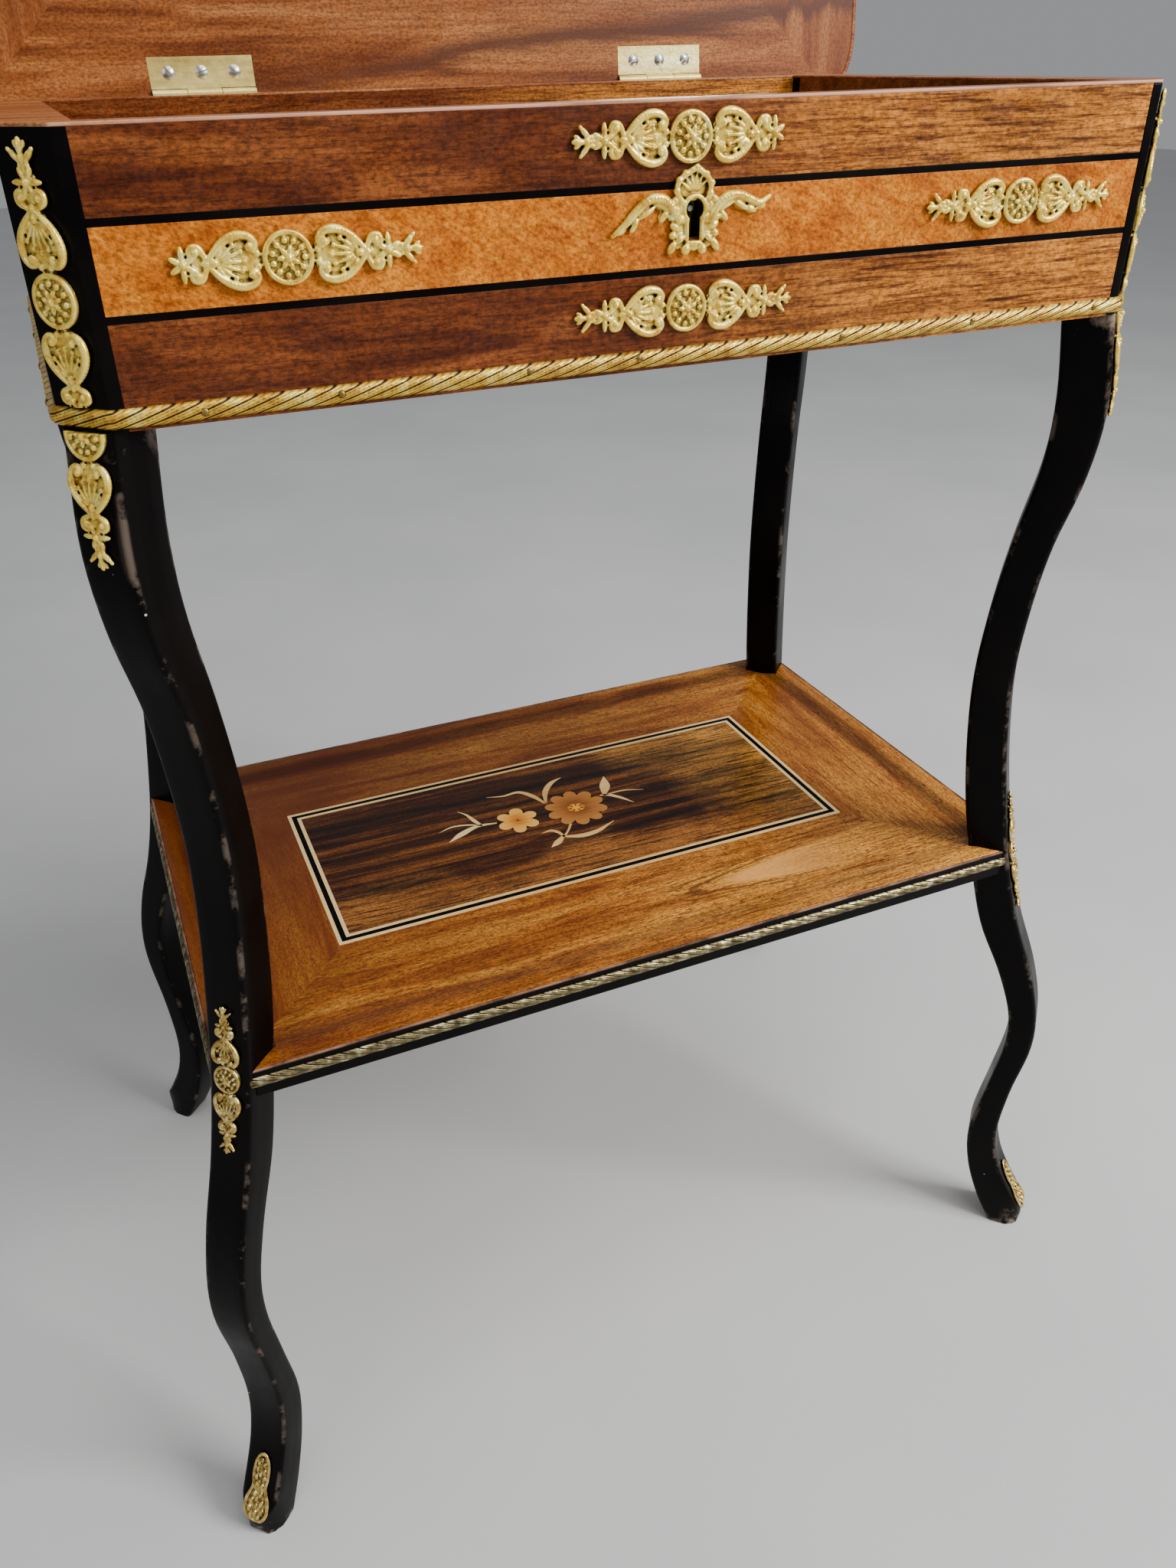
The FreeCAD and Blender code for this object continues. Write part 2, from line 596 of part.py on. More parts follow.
screw_rooms = []
stocks = []
for name, sx, sy in corners:
    place = (
        "%d * (CaseWidth / 2 - PostChamfer / 2 + ScrewStart * %s)" % (sx, diagonal),
        "%d * (CaseDepth / 2 - PostChamfer / 2 + ScrewStart * %s)" % (sy, diagonal),
        shelf_level,
    )
    inward = V(-sx, -sy, 0)
    screws.append(fuse("shelf_screw_" + name, [
        rod("screw_shank_" + name, "ScrewRadius", "ScrewLength", *place, inward),
        rod("screw_top_" + name, "ScrewHead", "ScrewHeadHeight", *place, inward),
    ]))
    screw_rooms.append(rod("screw_sink_" + name, "ScrewHead", "Overrun", *place, V(sx, sy, 0)))
    stock = group("leg_place_" + name, [leg_stock])
    stock.Placement = FreeCAD.Placement(V(), FreeCAD.Rotation(V(1, 0, 0), V(sx, sy, 0)))
    bind(stock, {
        "Placement.Base.x": "%d * (CaseWidth / 2 - %s)" % (sx, foot_place),
        "Placement.Base.y": "%d * (CaseDepth / 2 - %s)" % (sy, foot_place),
    })
    stocks.append(stock)
shelf_screws = keep(group("shelf_screws", screws), "shelf_screws")
for (name, sx, sy), stock, sink in zip(corners, stocks, screw_rooms):
    keep(cut("leg_cut_" + name, stock, [leg_pegs, shelf_screws, sink]), "leg_" + name)

# Shelf: a board with a hollowed rim, a black edge moulding and a rope strip
shelf_low = "ShelfTop - ShelfThickness"
shelf_x = "(CaseWidth / 2 + ShelfBeyondSide)"
shelf_y = "(CaseDepth / 2 + ShelfBeyondFront)"
shelf_half = (shelf_x, shelf_y, "ShelfCornerCut")


def dish_section(name, inset, rise):
    points = centred("%s - (%s)" % (shelf_x, inset), "%s - (%s)" % (shelf_y, inset))
    sketch = draw(doc.addObject("Sketcher::SketchObject", name), points)
    return bind(sketch, {"Placement.Base.z": rise})


rim_inset = "ShelfEdge + RimWidth"
field_inset = rim_inset + " + CoveWidth"
field_z = "(ShelfTop - ShelfDish)"
dish = doc.addObject("Part::Loft", "dish")
dish.Sections = [
    dish_section("dish_field", field_inset, field_z),
    dish_section("dish_hollow", field_inset + " - CoveToe", field_z + " + CoveFoot"),
    dish_section("dish_rim", rim_inset, "ShelfTop"),
    dish_section("dish_open", rim_inset, "ShelfTop + Overrun"),
]
dish.Solid = True
dish.Ruled = True
frame_size = (
    "-(FieldWidth / 2 + InlayLine)", "FieldWidth + 2 * InlayLine",
    "-(FieldDepth / 2 + InlayLine) + InlayShift", "FieldDepth + 2 * InlayLine",
)
inlay_room = box(
    "inlay_room", *frame_size, field_z + " - InlayThickness", "InlayThickness + Overrun"
)
board = slab("shelf_blank", cut_corner(*shelf_half, "ShelfEdge"), shelf_low, "ShelfThickness")
keep(cut("shelf_cut", board, [dish, inlay_room, shelf_screws] + stocks), "shelf_board")

edge_outer = slab("edge_outer", cut_corner(*shelf_half, "0"), shelf_low, "ShelfThickness")
edge_inner = slab(
    "edge_inner", cut_corner(*shelf_half, "ShelfEdge"), shelf_low + " - Overrun",
    "ShelfThickness + 2 * Overrun",
)
keep(cut("edge_ring", edge_outer, [edge_inner, shelf_screws] + stocks), "shelf_edge_moulding")

trim_low = "ShelfTop - TrimDrop - TrimHeight"
trim_outer = slab("trim_outer", cut_corner(*shelf_half, "-TrimDepth"), trim_low, "TrimHeight")
trim_inner = slab(
    "trim_inner", cut_corner(*shelf_half, "0"), trim_low + " - Overrun", "TrimHeight + 2 * Overrun"
)
keep(cut("trim_ring", trim_outer, [trim_inner] + stocks), "shelf_rope_trim")

# Marquetry of the field: flowers with round petals, and pointed leaves
field_depth = size("FieldDepth")
sheet_thick = size("InlayThickness")


def leaf(start, stop, thickness, low):
    tip = V(start[0] * field_depth, start[1] * field_depth, low)
    stem = V(stop[0] * field_depth, stop[1] * field_depth, low)
    across = (stem - tip).cross(up)
    across.normalize()
    middle = (tip + stem) * 0.5
    swell = across * (thickness * field_depth / 2)
    edges = [
        Part.Arc(tip, middle + swell, stem).toShape(),
        Part.Arc(stem, middle - swell, tip).toShape(),
    ]
    return Part.Face(Part.Wire(edges)).extrude(V(0, 0, sheet_thick))


def marquetry(low):
    solids = []
    for x, y, ring, petal, count in flower_shares:
        centre = V(x * field_depth, y * field_depth, low)
        solids.append(Part.makeCylinder(ring * field_depth, sheet_thick, centre))
        for k in range(count):
            turn = math.tau * k / count
            away = V(math.cos(turn), math.sin(turn), 0) * (ring * field_depth)
            solids.append(Part.makeCylinder(petal * field_depth, sheet_thick, centre + away))
    for start, stop, thickness in leaf_shares:
        solids.append(leaf(start, stop, thickness, low))
    return solids[0].multiFuse(solids[1:]).removeSplitter()


field_low = size("ShelfTop") - size("ShelfDish") - sheet_thick
shelf_flowers = keep(shaped("flowers", marquetry(field_low)), "shelf_marquetry")
string_outer = box("string_outer", *frame_size, field_z + " - InlayThickness", "InlayThickness")
string_inner = box(
    "string_inner", "-FieldWidth / 2", "FieldWidth", "-FieldDepth / 2 + InlayShift", "FieldDepth",
    field_z + " - InlayThickness", "InlayThickness",
)
keep(cut("string_ring", string_outer, [string_inner]), "shelf_stringing")
keep(cut("field_sheet", string_inner, [shelf_flowers]), "shelf_field_veneer")

# Lid pieces are drawn closed, with the hinge axis along X through their origin
axis_y = "(CaseDepth / 2 + KnuckleRadius + KnuckleClear)"
axis_z = "(CaseTop + LidGap / 2)"
lid_under = "LidGap / 2"
lid_half = ("CaseWidth / 2 + LidOverhangSide", "CaseDepth / 2 + LidOverhangFront")


def on_lid(obj, label):
    obj.Placement = FreeCAD.Placement(V(), FreeCAD.Rotation(V(1, 0, 0), -1))
    bind(obj, {
        "Placement.Base.y": axis_y, "Placement.Base.z": axis_z,
        "Placement.Rotation.Angle": "-LidOpenAngle",
    })
    return keep(obj, label)


def lid_layer(name, inset, rise, height):
    points = centred(
        "%s - %s" % (lid_half[0], inset), "%s - %s" % (lid_half[1], inset), "-" + axis_y
    )
    return rounded(name, points, rise, height, "LidRadius - " + inset)


def frame_ring(name, half_x, half_y, width, rise, height):
    outer = slab(name + "_outer", centred(half_x, half_y, "-" + axis_y), rise, height)
    inner = slab(
        name + "_inner",
        centred("%s - %s" % (half_x, width), "%s - %s" % (half_y, width), "-" + axis_y),
        rise + " - Overrun", height + " + 2 * Overrun",
    )
    return cut(name, outer, [inner])


mirror_half = ("(%s - MirrorInsetSide)" % lid_half[0], "(%s - MirrorInsetFront)" % lid_half[1])
mirror_room = slab(
    "mirror_room", centred(*mirror_half, "-" + axis_y),
    lid_under + " - Overrun", "MirrorThickness + Overrun",
)
leaf_rooms = []
lid_screws = []
case_screws = list(lock_screws)
leaf_near = "(KnuckleRadius + KnuckleClear)"
leaf_row = "(%s + LeafLid) / 2" % leaf_near
case_row = "(CaseDepth / 2 - LeafCase / 2)"
third = "HingeLength / 3"
for side, sx in sides:
    middle = "%d * (CaseWidth / 2 - HingeInset)" % sx
    leaf_rooms.append(box(
        "leaf_room_" + side, middle + " - HingeLength / 2", "HingeLength", "-LeafLid",
        "LeafLid", lid_under + " - Overrun", "LeafThickness + Overrun",
    ))
    leaf_rooms.append(rod(
        "knuckle_room_" + side, leaf_near, "HingeLength + 2 * KnuckleClear",
        middle + " - HingeLength / 2 - KnuckleClear", "0", "0", V(1, 0, 0),
    ))
    lid_row = [
        small_screw("lid_screw_%s_%d" % (side, k), "%s + %d * SmallPitch" % (middle, k),
                    "-(%s)" % leaf_row, lid_under, up)
        for k in (-1, 0, 1)
    ]
    case_screw_row = [
        small_screw("case_screw_%s_%d" % (side, k), "%s + %d * SmallPitch" % (middle, k),
                    case_row, "CaseTop", down)
        for k in (-1, 0, 1)
    ]
    lid_screws += lid_row
    case_screws += case_screw_row

    bore = rod("bore_" + side, "PinRadius + PinClear", "HingeLength + 2 * Overrun",
               middle + " - HingeLength / 2 - Overrun", "0", "0", V(1, 0, 0))
    plate = box("lid_plate_" + side, middle + " - HingeLength / 2", "HingeLength", "-LeafLid",
                "LeafLid - " + leaf_near, lid_under, "LeafThickness")
    tongue = box("lid_tongue_" + side, middle + " - HingeLength / 6 + KnuckleGap / 2",
                 third + " - KnuckleGap", "-" + leaf_near, leaf_near, lid_under, "LeafThickness")
    knuckle = rod("lid_knuckle_" + side, "KnuckleRadius", third + " - KnuckleGap",
                  middle + " - HingeLength / 6 + KnuckleGap / 2", "0", "0", V(1, 0, 0))
    leaf_whole = fuse("lid_leaf_whole_" + side, [plate, tongue, knuckle])
    on_lid(cut("lid_leaf_" + side, leaf_whole, [bore] + [whole for whole, slotted in lid_row]),
           "hinge_lid_leaf_" + side)

    case_bore = rod("case_bore_" + side, "PinRadius + PinClear", "HingeLength + 2 * Overrun",
                    middle + " - HingeLength / 2 - Overrun", axis_y, axis_z, V(1, 0, 0))
    pieces = [box("case_plate_" + side, middle + " - HingeLength / 2", "HingeLength",
                  "CaseDepth / 2 - LeafCase", "LeafCase", "CaseTop - LeafThickness",
                  "LeafThickness")]
    for end, start in (("a", "- HingeLength / 2"), ("b", "+ HingeLength / 6 + KnuckleGap / 2")):
        pieces.append(box(
            "case_tongue_%s_%s" % (side, end), "%s %s" % (middle, start),
            third + " - KnuckleGap / 2", "CaseDepth / 2", leaf_near,
            "CaseTop - LeafThickness", "LeafThickness",
        ))
        pieces.append(rod(
            "case_knuckle_%s_%s" % (side, end), "KnuckleRadius", third + " - KnuckleGap / 2",
            "%s %s" % (middle, start), axis_y, axis_z, V(1, 0, 0),
        ))
    case_whole = fuse("case_leaf_whole_" + side, pieces)
    keep(cut("case_leaf_" + side, case_whole,
             [case_bore] + [whole for whole, slotted in case_screw_row]),
         "hinge_case_leaf_" + side)

pins = [
    rod("pin_" + side, "PinRadius", "HingeLength",
        "%d * (CaseWidth / 2 - HingeInset) - HingeLength / 2" % sx,
        axis_y, axis_z, V(1, 0, 0))
    for side, sx in sides
]
keep(group("pins", pins), "hinge_pins")
keep(group("screws_of_case", [slotted for whole, slotted in case_screws]), "case_screws")

# Back wall, with the hinge leaves let into its top edge
back_board = slab(
    "back_board",
    rectangle("-(CaseWidth / 2 - PostSide)", "CaseWidth / 2 - PostSide",
              "CaseDepth / 2 - WallThickness", "CaseDepth / 2"),
    case_under, wall_height,
)
back_rooms = [
    box("back_room_" + side, "%d * (CaseWidth / 2 - HingeInset) - HingeLength / 2" % sx,
        "HingeLength", "CaseDepth / 2 - LeafCase", "LeafCase + Overrun", "CaseTop - LeafThickness",
        "LeafThickness + Overrun")
    for side, sx in sides
]
keep(cut("case_back", back_board,
         back_rooms + [whole for whole, slotted in case_screws[len(lock_screws):]]), "case_back")

# Veneer that covers the top edges of the walls and posts
rim_low = "CaseTop - RimThickness"
rim_outer = slab(
    "rim_outer", cut_corner("CaseWidth / 2", "CaseDepth / 2", "PostChamfer", "0"), rim_low,
    "RimThickness",
)
rim_inner = slab("rim_inner", centred(*inner_half), rim_low + " - Overrun",
                 "RimThickness + 2 * Overrun")
keep(cut("rim_cut", rim_outer, [rim_inner, selvedge_room] + back_rooms
         + [whole for whole, slotted in case_screws]), "case_rim")

# Strike plate with the staple that the bolt passes through
strike_y = "(%s - %s)" % (lock_middle, axis_y)
works_depth = "(LockThickness - 2 * LockPlate - 2 * BoltClear)"
strike_plate = box("strike_plate", "-StrikeWidth / 2", "StrikeWidth", strike_y + " - StrikeDepth / 2",
                   "StrikeDepth", lid_under, "StrikeThickness")
staple = box("staple", "StaplePlace - StapleThickness / 2", "StapleThickness",
             "%s - %s / 2" % (strike_y, works_depth), works_depth,
             lid_under + " - StapleDrop", "StapleDrop + StrikeThickness")
eye = box("eye", "StaplePlace - StapleThickness / 2 - Overrun", "StapleThickness + 2 * Overrun",
          strike_y + " - EyeWidth / 2", "EyeWidth",
          "-LidGap / 2 - BoltDrop - EyeHeight / 2", "EyeHeight")
strike_screws = [
    small_screw("strike_screw_" + side, "%d * (StrikeWidth / 2 - LockScrewInset)" % sx, strike_y,
                lid_under, up)
    for side, sx in sides
]
lid_screws += strike_screws
on_lid(cut("strike", fuse("strike_whole", [strike_plate, staple]),
           [eye] + [whole for whole, slotted in strike_screws]), "lid_strike_plate")
strike_room = box("strike_room", "-StrikeWidth / 2", "StrikeWidth", strike_y + " - StrikeDepth / 2",
                  "StrikeDepth", lid_under + " - Overrun", "StrikeThickness + Overrun")
on_lid(group("screws_of_lid", [slotted for whole, slotted in lid_screws]), "lid_screws")

# Lid layers
lid_holes = leaf_rooms + [mirror_room, strike_room] + [whole for whole, slotted in lid_screws]
under_sheet = lid_layer("under_sheet", "LidEdge", lid_under, "LidVeneer")
on_lid(cut("under_cut", under_sheet, lid_holes), "lid_under_veneer")
core = lid_layer("lid_core", "LidEdge", lid_under + " + LidVeneer", "LidThickness - 2 * LidVeneer")
on_lid(cut("core_cut", core, lid_holes), "lid_board")
lid_top = lid_under + " + LidThickness"
inlay_x = "%s - LidInlayInset" % lid_half[0]
inlay_y = "%s - LidInlayInset" % lid_half[1]
top_inlay = frame_ring("top_inlay", inlay_x, inlay_y, "LidInlayLine", lid_top + " - LidVeneer", "LidVeneer")
lid_flowers = bind(shaped("lid_flowers", marquetry(0)), {
    "Placement.Base.y": "-" + axis_y, "Placement.Base.z": lid_top + " - InlayThickness",
})
on_lid(group("lid_inlay_pieces", [top_inlay, lid_flowers]), "lid_inlay")
top_sheet = lid_layer("top_sheet", "LidEdge", lid_top + " - LidVeneer", "LidVeneer")
on_lid(cut("top_cut", top_sheet, [top_inlay, lid_flowers]), "lid_top_veneer")
lid_outer = lid_layer("lid_outer", "0", lid_under, "LidThickness")
lid_inner = lid_layer("lid_inner", "LidEdge", lid_under + " - Overrun", "LidThickness + 2 * Overrun")
on_lid(cut("lid_ring", lid_outer, [lid_inner]), "lid_edge_moulding")
on_lid(slab("mirror_glass", centred(*mirror_half, "-" + axis_y),
            lid_under, "MirrorThickness"), "lid_mirror")
on_lid(frame_ring("bead", mirror_half[0] + " + BeadWidth - BeadLap",
                  mirror_half[1] + " + BeadWidth - BeadLap", "BeadWidth",
                  lid_under + " - BeadHeight", "BeadHeight"), "lid_mirror_bead")

# Lock: a case let into the front wall, with a sliding bolt and a drill pin
lock_outer = box("lock_outer", "-LockWidth / 2", "LockWidth", "-%s - LockThickness" % lock_y,
                 "LockThickness", "CaseTop - LockHeight", "LockHeight")
lock_selvedge = box("lock_selvedge", "-SelvedgeWidth / 2", "SelvedgeWidth",
                    "-%s - LockThickness" % lock_y, "LockThickness",
                    "CaseTop - SelvedgeThickness", "SelvedgeThickness")
room_y = "-%s - LockThickness + LockPlate" % lock_y
room_depth = "LockThickness - 2 * LockPlate"
bolt_low = "(CaseTop - BoltDrop - BoltHeight / 2 - BoltClear)"
bolt_room = box("bolt_room", "-LockWidth / 2 + LockPlate", "LockWidth - 2 * LockPlate", room_y, room_depth,
                bolt_low, "CaseTop - SelvedgeThickness - " + bolt_low)
shelf_low_in_lock = "(%s - LockPlate)" % bolt_low
works_room = box("works_room", "-LockWidth / 2 + LockPlate", "LockWidth - 2 * LockPlate", room_y,
                 room_depth, "CaseTop - LockHeight + LockPlate",
                 shelf_low_in_lock + " - (CaseTop - LockHeight + LockPlate)")
staple_slot = box("staple_slot", "StaplePlace - StapleThickness / 2 - StapleClear",
                  "StapleThickness + 2 * StapleClear", room_y, room_depth,
                  "CaseTop - StapleDrop - StapleClear", "StapleDrop + StapleClear + Overrun")
lock_keyhole = keyhole("lock_keyhole", "-%s - LockThickness - Overrun" % lock_y,
                       "Overrun + LockThickness / 2")
keep(cut("lock_hollow", fuse("lock_whole", [lock_outer, lock_selvedge]),
         [bolt_room, works_room, staple_slot, lock_keyhole] + [whole for whole, slotted in lock_screws]),
     "lock_case")
finger_end = "(StaplePlace - StapleThickness / 2 - BoltStart)"
bolt_block = box("bolt_block", finger_end + " - FingerLength - BoltLength", "BoltLength",
                 "%s - %s / 2" % (lock_middle, works_depth), works_depth,
                 "CaseTop - BoltDrop - BoltHeight / 2", "BoltHeight")
bolt_finger = box("bolt_finger", finger_end + " - FingerLength", "FingerLength",
                  lock_middle + " - FingerThickness / 2", "FingerThickness",
                  "CaseTop - BoltDrop - FingerHeight / 2", "FingerHeight")
keep(fuse("bolt", [bolt_block, bolt_finger]), "lock_bolt")
keep(rod("drill_pin", "DrillPinRadius", "DrillPinLength", "0", "-%s - LockPlate" % lock_y,
         keyhole_z, V(0, -1, 0)), "lock_drill_pin")

# Gilt mounts: raised bosses on a thin spine
boss_length = size("MountLength")
spine_wide, spine_long = spine_shares[1], spine_shares[0]


def flat_mount(length, shares, relief, low=-0.5, high=0.5, raised=0, turned=0):
    solids = [Part.makeBox(
        length * spine_long, length * spine_wide, size("MountBack"),
        V(-length * spine_long / 2, -length * spine_wide / 2, 0),
    )]
    for across, off, radius, rise in shares:
        wide = radius * length
        solids.append(Part.makeCone(
            wide, wide * frustum_share, rise * relief, V(across * length, off * length, 0)
        ))
    kept_length = Part.makeBox(
        (high - low) * length, length, 2 * relief, V(low * length, -length / 2, -relief / 2)
    )
    mount = solids[0].multiFuse(solids[1:]).removeSplitter()
    # Turned before the cut, so that the turn is in the geometry and not in a placement that is set later
    for shape in (mount, kept_length):
        shape.rotate(V(), V(0, 1, 0), turned)
        shape.translate(V(0, 0, raised))
    return mount.common(kept_length)


quarter_turn = 90
front_turn = FreeCAD.Rotation(V(1, 0, 0), quarter_turn)
middle_band = "CaseTop - 1.5 * BandHeight - LineWidth"
low_band = "CaseTop - 2 * BandHeight - 2 * LineWidth"
frieze = (
    ("top", "-MountShift", "CaseTop - TopMountDrop", -0.5, broken_share),
    ("bottom", "-MountShift", "(%s + %s + RopeRise + RopeHeight) / 2" % (low_band, case_under),
     -0.5, 0.5),
    ("left", "SideMountInset - CaseWidth / 2", middle_band, -broken_share, 0.5),
    ("right", "CaseWidth / 2 - SideMountInset", middle_band, -0.5, 0.5),
)
for place, x, z, low, high in frieze:
    mount = shaped("front_mount_" + place,
                   flat_mount(boss_length, mount_shares, size("MountDepth"), low, high))
    mount.Placement = FreeCAD.Placement(V(), front_turn)
    bind(mount, {
        "Placement.Base.x": x, "Placement.Base.y": "-CaseDepth / 2", "Placement.Base.z": z,
    })
    keep(mount, "mount_front_" + place)

# Keyhole plate with a leaf on each side
plate_wide = size("PlateWidth")
plate_high = size("PlateHeight")
plate_thick = size("PlateDepth")
discs = [
    Part.makeCylinder(radius * plate_high, plate_thick, V(x * plate_wide, y * plate_high, 0))
    for x, y, radius in plate_shares
]
plate_solid = shaped("plate_solid", discs[0].multiFuse(discs[1:]).removeSplitter())
plate_solid.Placement = FreeCAD.Placement(V(), front_turn)
bind(plate_solid, {"Placement.Base.y": "-CaseDepth / 2", "Placement.Base.z": keyhole_z})
keep(cut("plate_open", plate_solid, [front_keyhole]), "keyhole_plate")

# Mounts on the posts and on the curved outer faces of the front legs


def wrapped_mount(length, shares, height, thickness, half):
    strip_edge = outer_curve.toShape()
    moved = strip_edge.copy()
    moved.translate(V(thickness, 0, 0))
    ends = [
        Part.makeLine(outer_curve.StartPoint, outer_curve.StartPoint + V(thickness, 0, 0)),
        Part.makeLine(outer_curve.EndPoint, outer_curve.EndPoint + V(thickness, 0, 0)),
    ]
    strip = Part.Face(Part.Wire(Part.__sortEdges__([strip_edge, ends[0], moved, ends[1]])))
    strip.translate(V(0, -half, 0))
    skin = strip.extrude(V(0, 2 * half, 0))
    start = -reach
    solids = [
        Part.makeCylinder(
            radius * length, 3 * reach, V(start, off * length, height + across * length), V(1, 0, 0)
        )
        for across, off, radius, rise in shares
    ]
    outline = solids[0].multiFuse(solids[1:])
    lowest = height + min(across for across, off, radius, rise in shares) * length
    highest = height + max(across for across, off, radius, rise in shares) * length
    spine = Part.makeBox(
        3 * reach, length * spine_wide, highest - lowest, V(start, -length * spine_wide / 2, lowest)
    )
    return skin.common(outline.fuse(spine)).removeSplitter()


leg_relief = size("LegMountDepth")
mount_half = size("LegWidth") / 2
knee_height = leg_height - size("KneeMountDrop")
lower_shares = [row for row in mount_shares if row[0] <= 0]
leg_mounts = (
    ("knee", wrapped_mount(boss_length, lower_shares, knee_height, leg_relief, mount_half)),
    ("shelf", wrapped_mount(size("ShelfMountLength"), mount_shares, shelf_mount_share * leg_height,
                            leg_relief, mount_half)),
    ("toe", wrapped_mount(size("ToeMountLength"), toe_shares, toe_mount_share * leg_height,
                          leg_relief, mount_half)),
)
rosette_rise = size("CaseHeight") - size("PostMountDrop")
rope_top = size("RopeRise") + size("RopeHeight")
post_mount = flat_mount(
    boss_length, mount_shares, size("MountDepth"), -0.5,
    (rosette_rise - rope_top - size("PostMountRise")) / boss_length,
    leg_height + rosette_rise, quarter_turn,
)
for name, sx, sy in corners[:2]:
    for place, shape in (("post", post_mount),) + leg_mounts:
        mount = shaped("%s_mount_%s" % (place, name), shape.copy())
        mount.Placement = FreeCAD.Placement(V(), FreeCAD.Rotation(V(1, 0, 0), V(sx, sy, 0)))
        bind(mount, {
            "Placement.Base.x": "%d * (CaseWidth / 2 - %s)" % (sx, foot_place),
            "Placement.Base.y": "%d * (CaseDepth / 2 - %s)" % (sy, foot_place),
        })
        keep(mount, "mount_%s_%s" % (place, name))

doc.recompute()

# Every object is sound before anything is written
faults = []
for obj in doc.Objects:
    if "Invalid" in obj.State or "Error" in obj.State:
        faults.append("%s: %s" % (obj.Name, obj.State))
for label, obj in kept.items():
    if obj.Shape.isNull() or not obj.Shape.isValid() or not obj.Shape.Solids:
        faults.append("%s has no sound solid" % label)
if faults:
    raise RuntimeError("; ".join(faults))

os.makedirs("parts", exist_ok=True)
for label, obj in kept.items():
    obj.Shape.exportStep("parts/%s.step" % label)
    print("%-28s solids %2d  volume %10.1f" % (label, len(obj.Shape.Solids), obj.Shape.Volume))
print("pieces", len(kept))
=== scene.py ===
import json
import math

import bmesh
import bpy
from mathutils import Matrix, Vector


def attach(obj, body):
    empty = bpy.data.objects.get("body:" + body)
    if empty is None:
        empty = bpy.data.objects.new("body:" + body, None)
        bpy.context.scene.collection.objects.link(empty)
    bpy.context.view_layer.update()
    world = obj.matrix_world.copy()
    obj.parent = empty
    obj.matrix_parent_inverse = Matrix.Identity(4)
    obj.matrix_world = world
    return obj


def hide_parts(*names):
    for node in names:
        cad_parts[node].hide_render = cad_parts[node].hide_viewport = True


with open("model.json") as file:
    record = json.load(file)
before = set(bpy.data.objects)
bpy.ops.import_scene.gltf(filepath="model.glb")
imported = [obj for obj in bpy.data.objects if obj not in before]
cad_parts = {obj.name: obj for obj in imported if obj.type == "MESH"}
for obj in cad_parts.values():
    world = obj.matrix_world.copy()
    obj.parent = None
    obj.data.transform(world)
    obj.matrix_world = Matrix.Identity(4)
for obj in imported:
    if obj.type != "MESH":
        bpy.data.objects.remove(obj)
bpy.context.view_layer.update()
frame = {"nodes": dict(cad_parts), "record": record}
nodes = frame["nodes"]
record = frame["record"]
bodyOf = {node: body for body, members in record["behaviour"]["bodies"].items() for node in members}
slotOf = {part["node"]: part["material_slot"] for part in record["subparts"]}
scene = bpy.context.scene
mm = 0.001
print("frame loaded:", len(nodes), "pieces")


